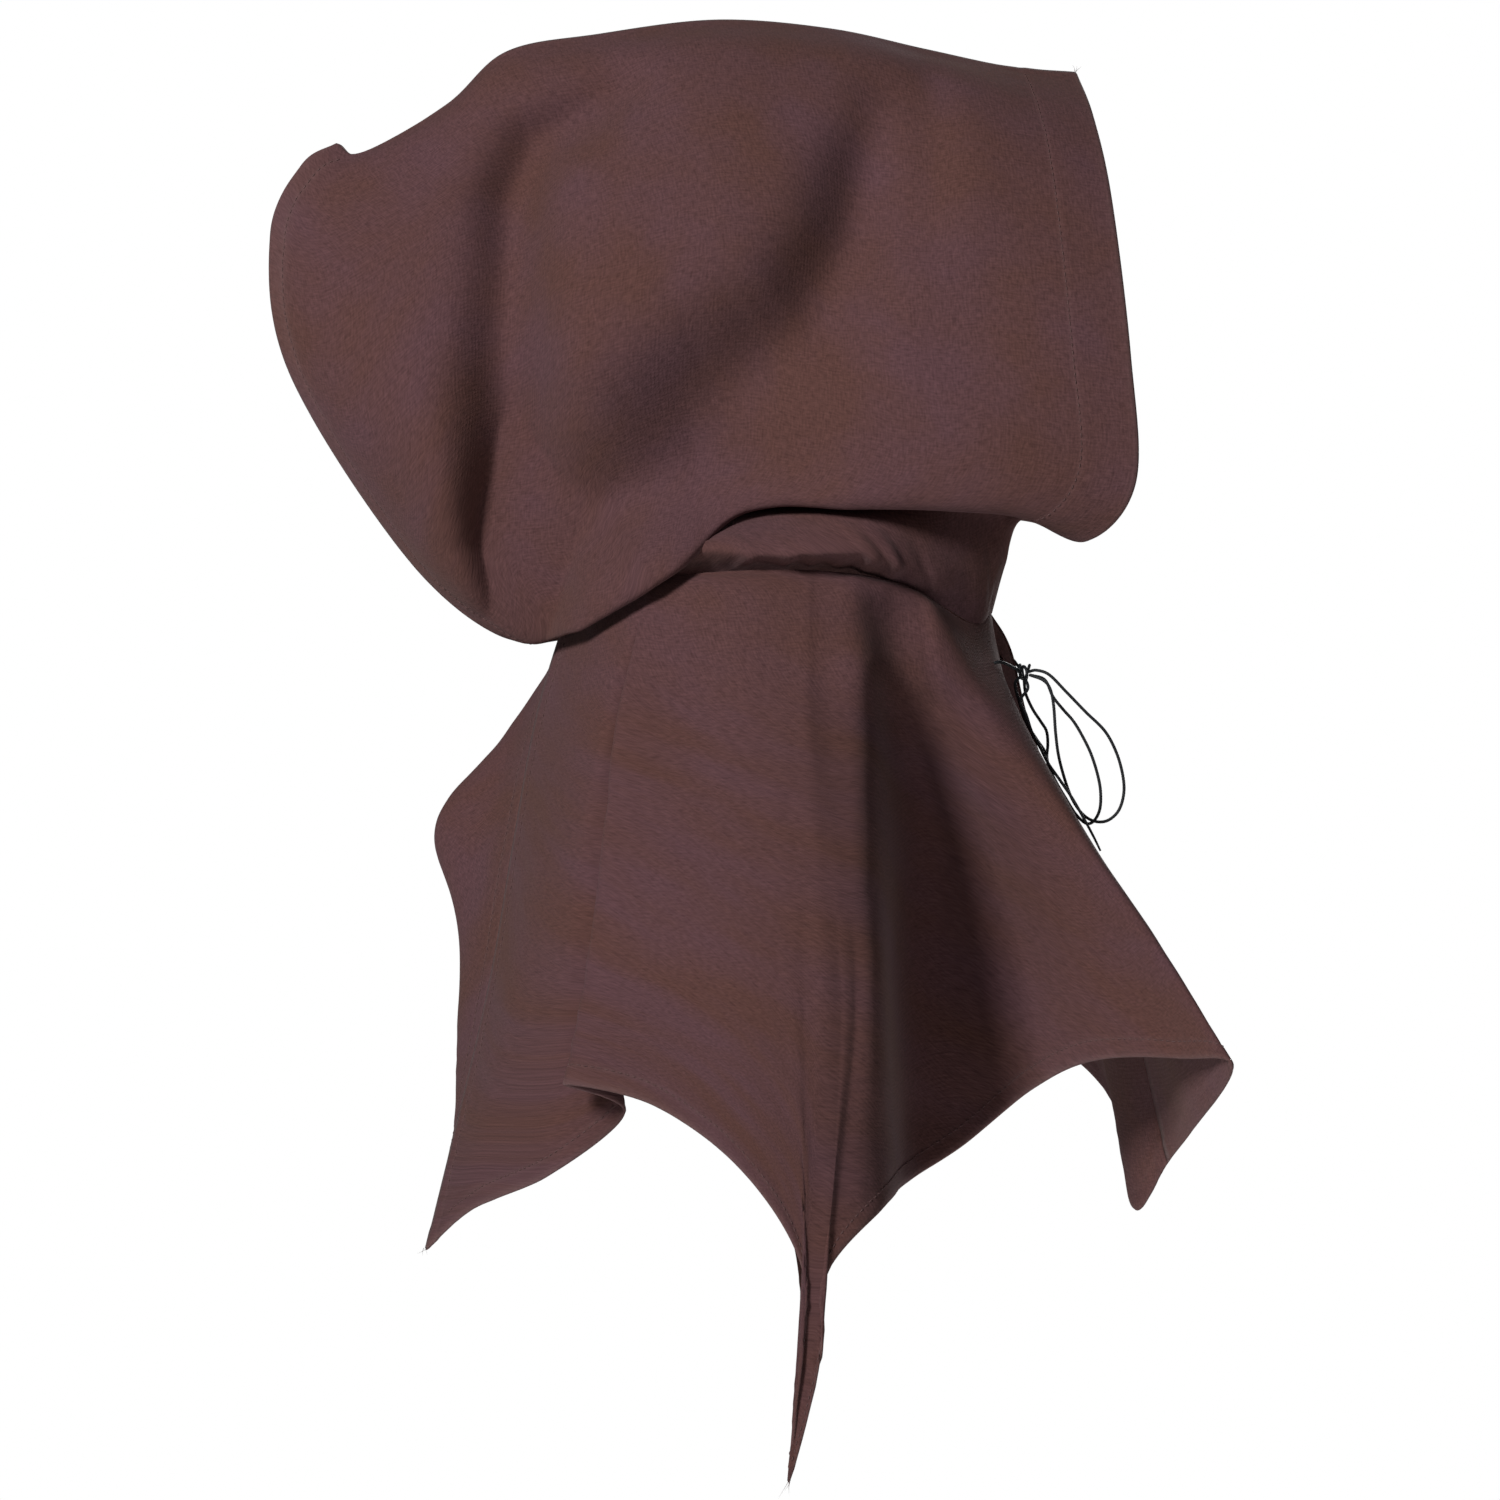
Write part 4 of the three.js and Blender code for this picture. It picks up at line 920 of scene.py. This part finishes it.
# %% Hood panels
FACE_HEM = 24.0  # millimetres from the face edge to its stitching
SEAM_ALLOWANCE = 9.0  # millimetres from the back seam to its topstitching
HOOD_U = np.linspace(0, 1, 241)
HOOD_V = np.linspace(0, 1, 196)
FACE_HEM_LAYERS = 0.55  # millimetres that the turned hem adds
HOOD_SEAM_LAYERS = 0.4  # millimetres that the seam's turned edges add
LIP_END = 126  # the face hem's stitching stops where the lip turns under
COLLAR_FULLNESS = 13  # millimetres that the gathered cloth below the lip stands out at the side
COLLAR_SWELL = 7  # how much further it stands out behind the middle
SWELL_PLACE = -34
SWELL_REACH = 26
FAR_CORNER = (150, -222)  # where the far half's lip ends, forward and up
FAR_CORNER_REACH = (25, 16)
FAR_CORNER_LIFT = 4
NECK_ANGLES = through(angles_of(HOOD_RIBS), HOOD_U)


def hood_panel(name, node_name, side):
    """The hood's middle surface, pressed in by its folds, with its hems, seams and wrinkles."""
    grid = surface(hood_net(side), HOOD_U, HOOD_V)
    away = np.abs(grid[..., 1])
    pressed = fold_depths(HOOD_FOLDS + HOOD_HOLLOWS, grid, HOOD_LENGTH, HOOD_HEIGHT, HOOD_HALF_WIDTH)
    grid[..., 1] = side * (away - np.minimum(pressed, away * PRESS_LIMIT))
    v = HOOD_V[None, :]
    x = grid[..., 0].copy()
    below_lip = rise(v, 0.66, 0.8) * (1 - rise(v, 0.9, 1))
    beside = rise(x, -80, -48) * (1 - rise(x, 60, 120))
    fuller = COLLAR_FULLNESS + COLLAR_SWELL * bell(x - SWELL_PLACE, SWELL_REACH)
    grid[..., 1] += side * fuller * below_lip * beside
    if side == LEFT:
        from_corner = (grid[..., [0, 2]] - FAR_CORNER) / FAR_CORNER_REACH
        grid[..., 2] += FAR_CORNER_LIFT * bell(np.hypot(from_corner[..., 0], from_corner[..., 1]), 1)

    across, down = threads(grid)
    from_back = across[-1:] - across
    at_hem = across - FACE_HEM
    at_seam = from_back - SEAM_ALLOWANCE
    hem_line = bell(at_hem, 1.2) * (1 - rise(v, 0.62, 0.72))
    back_line = bell(at_seam, 1.1) * rise(v, 0.03, 0.06)
    uneven = 0.5 * soft_noise(across, down, 34, 3) + 0.22 * soft_noise(across, down * 0.6, 13, 5)
    free = rise(across, 0, 20) * rise(from_back, 0, 20) * rise(down, 0, 12) * rise(1 - v, 0, 0.05)
    gathers = 1.7 * soft_noise(across, down * 0.1, 6, 21) * rise(v, 0.8, 0.93) * rise(1 - v, 0, 0.035)
    pucker = 0.34 * soft_noise(down, across * 0.25, 7, 8) * bell(at_hem, 9)
    pucker += 0.3 * soft_noise(down, across * 0.25, 6, 9) * bell(at_seam, 6)
    push = uneven * free + pucker + gathers * rise(across, 3, 9) * rise(from_back, 3, 9)
    push = push - 0.25 * hem_line - 0.3 * back_line
    grid = grid + normals_of(grid) * -side * push[..., None]
    grid[:, 0, 1] = 0
    grid[-1, :, 1] = 0
    grid = own_side(grid, side)

    outward = normals_of(grid) * -side
    outward[:, 0] = in_middle_plane(outward[:, 0])
    outward[-1] = in_middle_plane(outward[-1])
    outward[:, -1] = neck_outward(NECK_ANGLES, side)
    thickness = CLOTH + FACE_HEM_LAYERS * rise(FACE_HEM + 1.5 - across, 0, 2)
    thickness += HOOD_SEAM_LAYERS * rise(SEAM_ALLOWANCE - from_back, 0, 2)
    bulge = np.zeros(away.shape)
    bulge[0] = 1
    # Lighter worn cloth along the face edge, the face hem's stitching, the back seam and the top seam.
    wear_and_highlight = 0.5 * np.exp(-across / 1.6) + 0.22 * hem_line + 0.3 * back_line
    wear_and_highlight += 0.5 * np.exp(-from_back / 2.2) * rise(v, 0.02, 0.05) + 0.28 * np.exp(-down / 2)
    # Painted highlight: a lighter band beside the back seam at the crown, where the hood's back turns
    # towards the light.
    wear_and_highlight += 0.35 * bell(from_back - 7, 5) * bell(v - 0.32, 0.16)
    piece, outer = build_panel(name, grid, side, outward, thickness, bulge, wear_and_highlight)
    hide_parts(node_name)

    face_line, face_up = line_at(across, FACE_HEM, outer, outward)
    back_edge, back_up = line_at(from_back[::-1], SEAM_ALLOWANCE, outer[::-1], outward[::-1])
    thread = sewing(name.replace("cloth", "stitches"), [
        stitch_row(face_line[4:LIP_END], face_up[4:LIP_END]),
        stitch_row(back_edge[8:-10], back_up[8:-10]),
        frayed(outer[0, 0], (0.5, 0, 1), 3, 3.5, 31),
    ])


hood_panel("hood_cloth_right", "hood_panel_right", RIGHT)
hood_panel("hood_cloth_left", "hood_panel_left", LEFT)

# %% [markdown]
# ## The cape
# Each half is sewn to the other at the front, below the throat slit, and at the back, and ends in a
# narrow turned hem cut into long points with hollow curves between them. The cloth flares from the
# neck and drops into deep folds: the front valley, the broad side and a flat pleat behind it.

# %% Cape panels
CAPE_HEM = 8.0  # millimetres from the edge to the hem's stitching
CAPE_HEM_LAYERS = 0.6  # millimetres that the turned hem adds
CAPE_SEAM_LAYERS = 0.35  # millimetres that the seam's turned edges add
CAPE_PRESS_LIMIT = 0.8
CAPE_U = np.linspace(0, 1, 286)
CAPE_V = np.linspace(0, 1, 161)
CREASE_EASE = 7  # columns over which the sharp creases beside the valley are eased


def softened(grid, reach):
    """The grid averaged over its neighbours across the cloth, with a bell of that many columns."""
    offsets = np.arange(-2 * reach, 2 * reach + 1)
    shares = bell(offsets, reach)
    columns = np.clip(np.arange(len(grid))[:, None] + offsets[None, :], 0, len(grid) - 1)
    return np.einsum("ckij,k->cij", grid[columns], shares / shares.sum())


def creased_cape(grid):
    """The right half with its sharp creases eased and its shallow hollows pushed in."""
    x = grid[..., 0]
    fallen = -grid[..., 2] - NECK_DROP
    beside_valley = rise(x, 22, 40) * (1 - rise(x, 66, 84))
    where = beside_valley * rise(fallen, 0, 20) * (1 - rise(CAPE_V, 0.62, 0.8))
    grid = grid + (softened(grid, CREASE_EASE) - grid) * where[..., None]
    away = np.abs(grid[..., 1])
    fallen = -grid[..., 2] - NECK_DROP
    hollow = fold_depths(CAPE_HOLLOWS, grid, CAPE_LENGTH, CAPE_DROP, CAPE_HALF_WIDTH, start=NECK_DROP)
    held = rise(away, 4, 40) * rise(fallen, 6, 45)
    return pushed(grid, np.minimum(hollow * held, away * CAPE_PRESS_LIMIT))


def cape_panel(name, node_name, table, side):
    """The cape's middle surface with its seams, stitched hem, puckers and small wrinkles."""
    grid = surface(cape_net(table, side), CAPE_U, CAPE_V)
    if side == RIGHT:
        grid = creased_cape(grid)
    grid = own_side(grid, side)

    across, down = threads(grid)
    to_hem = down[:, -1:] - down
    from_back = across[-1:] - across
    at_hem = to_hem - CAPE_HEM
    at_seam = from_back - SEAM_ALLOWANCE
    hem_line = bell(at_hem, 1.0)
    back_line = bell(at_seam, 1.0)
    free = rise(across, 0, 18) * rise(from_back, 0, 18) * rise(down, 4, 30)
    uneven = 0.45 * soft_noise(across, down * 0.5, 30, 13) + 0.16 * soft_noise(across, down * 0.6, 11, 15)
    pucker = 0.5 * soft_noise(across + to_hem * 0.7, to_hem * 0.3, 5.5, 18) * bell(at_hem, 7)
    pucker += 0.3 * soft_noise(down, across * 0.3, 7, 19) * bell(at_seam, 6)
    keep = rise(across, 0, 2) * rise(from_back, 0, 2) * rise(down, 0, 3)
    push = (uneven * free + pucker - 0.28 * hem_line - 0.25 * back_line) * keep
    grid = grid + normals_of(grid) * -side * push[..., None]
    grid[-1, :, 1] = 0
    grid = own_side(grid, side)

    outward = normals_of(grid) * -side
    outward[0] = in_middle_plane(outward[0])
    outward[-1] = in_middle_plane(outward[-1])
    outward[:, 0] = neck_outward(through(angles_of(table), CAPE_U), side)
    thickness = CLOTH + CAPE_HEM_LAYERS * rise(CAPE_HEM + 1 - to_hem, 0, 1.6)
    thickness += CAPE_SEAM_LAYERS * rise(SEAM_ALLOWANCE - from_back, 0, 2)
    bulge = np.zeros(across.shape)
    bulge[:, -1] = 1
    wear_and_highlight = 0.7 * np.exp(-to_hem / 1.5) + 0.35 * hem_line + 0.3 * back_line
    wear_and_highlight += 0.35 * np.exp(-from_back / 1.5)
    piece, outer = build_panel(name, grid, side, outward, thickness, bulge, wear_and_highlight)
    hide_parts(node_name)

    turned = [np.swapaxes(face[:, ::-1], 0, 1) for face in (outer, outward)]
    hem_edge, hem_up = line_at(to_hem[:, ::-1].T, CAPE_HEM, *turned)
    back_edge, back_up = line_at(from_back[::-1], SEAM_ALLOWANCE, outer[::-1], outward[::-1])
    point = np.argmin(outer[..., 2].min(axis=1))
    thread = sewing(name.replace("cloth", "stitches"), [
        stitch_row(hem_edge[6:-6], hem_up[6:-6]),
        stitch_row(back_edge[4:-6], back_up[4:-6]),
        frayed(outer[point, -1], (-0.3, 0, -1), 4, 5, 33),
        frayed(outer[-1, -1], (-0.6, 0, -1), 3, 4, 35),
        frayed(outer[20, -1], (-0.2, 0, -1), 4, 4, 37),
    ])


cape_panel("cape_cloth_right", "cape_panel_right", CAPE_RIGHT, RIGHT)
cape_panel("cape_cloth_left", "cape_panel_left", CAPE_LEFT, LEFT)

# %% [markdown]
# ## The lace and the knot
# The lace leaves the knot, goes in through the eyelet beside the slit, crosses behind the throat and
# comes out through the other eyelet back to the knot.

# %% Lace and knot
EYELET_SECTION = 1.2  # sections from the throat
EYELET_DOWN = 0.225  # share of the way down
SLOPE_STEP = 0.004  # share of the panel over which its slopes are read
LACE_REACH = 4.0  # millimetres that the lace runs straight on each side of the cloth
LACE_SLACK = 6.0  # millimetres that it bows backwards behind the throat
LACE_EASE = 6.0  # millimetres over which the lace rounds its turns
KNOT_TURNS = 2.2
KNOT_SPREAD = 4.6  # millimetres from the first turn to the last


def through_eyelet(table, side):
    """Three points square to the cloth at the eyelet: outside, in it and inside."""
    steps = np.array([-SLOPE_STEP, 0, SLOPE_STEP])
    along = EYELET_SECTION / (len(table) - 1)
    near = surface(cape_net(table, side), along + steps, EYELET_DOWN + steps)
    centre = near[1, 1]
    outward = unit(np.cross(near[2, 1] - near[0, 1], near[1, 2] - near[1, 0])) * -side
    return [centre + outward * LACE_REACH, centre, centre - outward * LACE_REACH]


def eased(path, reach):
    """The path averaged over a bell of that reach along it, with both ends held.

    Past each end it goes on, turned half round about the end, so that the average keeps the end.
    """
    more = 24
    before = 2 * path[0] - path[more:0:-1]
    after = 2 * path[-1] - path[-2:-more - 2:-1]
    whole = np.concatenate([before, path, after])
    s = travelled(whole)
    share = bell(s[more:-more, None] - s[None, :], reach)
    return share @ whole / share.sum(axis=1, keepdims=True)


def tightest_bend(path):
    """The smallest radius of a circle through points three steps apart on the path."""
    a, b, c = path[:-6], path[3:-3], path[6:]
    sides = [np.linalg.norm(x, axis=1) for x in (b - a, c - b, c - a)]
    twice_area = np.linalg.norm(np.cross(b - a, c - a), axis=1)
    return float(np.min(sides[0] * sides[1] * sides[2] / np.maximum(2 * twice_area, 1e-12)))


right_eyelet = through_eyelet(CAPE_RIGHT, RIGHT)
left_eyelet = through_eyelet(CAPE_LEFT, LEFT)[::-1]
behind_throat = (right_eyelet[2] + left_eyelet[0]) / 2 - [LACE_SLACK, 0, 0]
lace_route = [at_knot(right_eyelet[0]), *right_eyelet, behind_throat, *left_eyelet, at_knot(left_eyelet[2])]
lace_path = eased(cord_path(lace_route), LACE_EASE * MM)
lace_path = evenly(lace_path, int(path_length(lace_path) / (CORD_STEP * MM)))
tie_piece("tie_lace", lace_path)
print("lace's tightest bend, mm:", round(tightest_bend(lace_path) * 1000, 2))


def knot_path():
    """A little over two turns of cord pulled tight round the bow, spread along its axis."""
    t = np.linspace(0, 1, 90)
    turn = t * 2 * np.pi * KNOT_TURNS
    radius = 3.2 + 0.5 * np.cos(turn * 0.5)
    centre_x = KNOT_CENTRE[0] + (t - 0.5) * KNOT_SPREAD
    return np.stack([
        centre_x + 0.5 * np.sin(turn * 1.5),
        KNOT_CENTRE[1] + radius * np.cos(turn),
        KNOT_CENTRE[2] + radius * np.sin(turn) * 0.95,
    ], axis=-1) * MM


coil = evenly(knot_path(), 70)
knot = twisted_cord("bow_knot", coil)
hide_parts("tie_knot")
print("knot's cord, mm:", round(path_length(coil) * 1000))

# %% [markdown]
# ## The eyelets
# A real eyelet is a small hole overcast with thread. Here it is only the ring of thread, which swells
# a little at every stitch and lies close round the lace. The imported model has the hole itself; this
# cloth isn't pierced, and the lace passes through it inside the ring.

# %% Sewn eyelets
EYELET_RADIUS = 1.25
OVERCASTS = 16  # stitches round the ring


def eyelet_ring(name, centre, outward):
    """A torus round the lace whose section is 0.42 + 0.09 cos(stitches times the turn) mm."""
    turn = np.linspace(0, 2 * np.pi, 65)[:-1, None, None]
    angle = np.linspace(0, 2 * np.pi, 9)[:-1][None, :, None]
    level = unit(np.cross(outward, [0.0, 0.0, 1.0]))
    upright = np.cross(outward, level)
    away = np.cos(turn) * level + np.sin(turn) * upright
    section = 0.42 + 0.09 * np.cos(OVERCASTS * turn)
    ring = centre + away * (EYELET_RADIUS + section * np.cos(angle))
    ring = ring + outward * 2.0 * section * np.sin(angle)
    faces = quads(64, 8, wrap=True, closed=True)
    mesh_object(name, ring.reshape(-1, 3) * MM, faces[:, ::-1], brown_thread)


for name, route in (("eyelet_right", right_eyelet), ("eyelet_left", left_eyelet[::-1])):
    eyelet_ring(name, route[1], unit(route[0] - route[1]))
    print(name, "at, mm:", route[1].round(1))

# %% [markdown]
# ## Studio
# The floor is a plain pale disc whose rim glows towards the white behind it. From the photograph's
# side it isn't in view, and from higher up its edge shows as a faint line. A soft light stands above
# and left of the camera, a weak one fills from the right, and one behind keeps the far side from
# going black. The room is seen white but gives the object very little light, so that the folds keep
# their dark hollows.

# %% Floor and lights
FLOOR_LEVEL = -1.35
FLOOR_RADIUS = 1.5
FLOOR_SIDES = 96
ROOM_GLOW = 0.022  # the room's light on the object, as a share of what the camera sees


def studio_floor():
    """A level disc whose rim pales towards the white of the room behind it."""
    turn = np.linspace(0, 2 * np.pi, FLOOR_SIDES + 1)[:-1]
    rings = np.linspace(0, FLOOR_RADIUS, 7)[1:]
    x = np.outer(rings, np.cos(turn)).ravel()
    y = np.outer(rings, np.sin(turn)).ravel()
    points = np.stack([x, y, np.full(x.shape, FLOOR_LEVEL)], axis=-1)
    points = np.concatenate([points, [[0, 0, FLOOR_LEVEL]]])
    around = quads(len(rings), len(turn), wrap=True)
    first = np.arange(FLOOR_SIDES)
    inner = np.stack([first, np.roll(first, -1), np.full(FLOOR_SIDES, len(points) - 1)], axis=1)
    faces = around[:, ::-1].tolist() + inner.tolist()
    mesh = bpy.data.meshes.new("pale_floor")
    mesh.from_pydata(points.tolist(), [], faces)
    material, tree, shader, node = new_material("pale_floor")
    place = node("ShaderNodeTexCoord")
    reach = node("ShaderNodeVectorMath", {0: place.outputs["Object"]}, operation="LENGTH")
    glow = {"Value": reach.outputs["Value"], "From Min": 1.0, "From Max": FLOOR_RADIUS,
            "To Min": 0.05, "To Max": 0.5}
    rim = node("ShaderNodeMapRange", glow, interpolation_type="SMOOTHSTEP")
    tree.links.new(rim.outputs["Result"], shader.inputs["Emission Strength"])
    shader.inputs["Base Color"].default_value = (0.6, 0.6, 0.6, 1)
    shader.inputs["Roughness"].default_value = 0.9
    shader.inputs["Emission Color"].default_value = (1, 1, 1, 1)
    mesh.materials.append(material)
    floor = bpy.data.objects.new("pale_floor", mesh)
    bpy.context.scene.collection.objects.link(floor)
    return floor


def soft_light(name, place, target, size, power):
    """A square area light at place, turned towards target."""
    light = bpy.data.lights.new(name, "AREA")
    light.shape = "SQUARE"
    light.size = size
    light.energy = power
    lamp = bpy.data.objects.new(name, light)
    x, y, z = unit(np.array(target) - np.array(place))
    lamp.location = place
    lamp.rotation_euler = (math.acos(-z), 0, math.atan2(x, -y) + math.pi)
    bpy.context.scene.collection.objects.link(lamp)
    print(name, "watts:", power)


studio_floor()
soft_light("key_light", (-1.5, -2.25, 1.0), (0, 0, -0.3), 0.7, 68)
soft_light("fill_light", (0.9, -2.6, 0.3), (0.05, 0, -0.35), 1.0, 4)
soft_light("back_light", (1.0, 2.4, 0.3), (0, 0, -0.3), 1.2, 38)

# The world is seen white by the camera and is dim for every other ray.
world = bpy.data.worlds.new("pale_room")
world.use_nodes = True
tree = world.node_tree
room = tree.nodes["Background"]
room.inputs["Color"].default_value = (1, 1, 1, 1)
rays = tree.nodes.new("ShaderNodeLightPath")
seen = tree.nodes.new("ShaderNodeMapRange")
seen.inputs["To Min"].default_value = ROOM_GLOW
seen.inputs["To Max"].default_value = 1.0
tree.links.new(rays.outputs["Is Camera Ray"], seen.inputs["Value"])
tree.links.new(seen.outputs["Result"], room.inputs["Strength"])
bpy.context.scene.world = world
bpy.context.scene.view_settings.view_transform = "Standard"
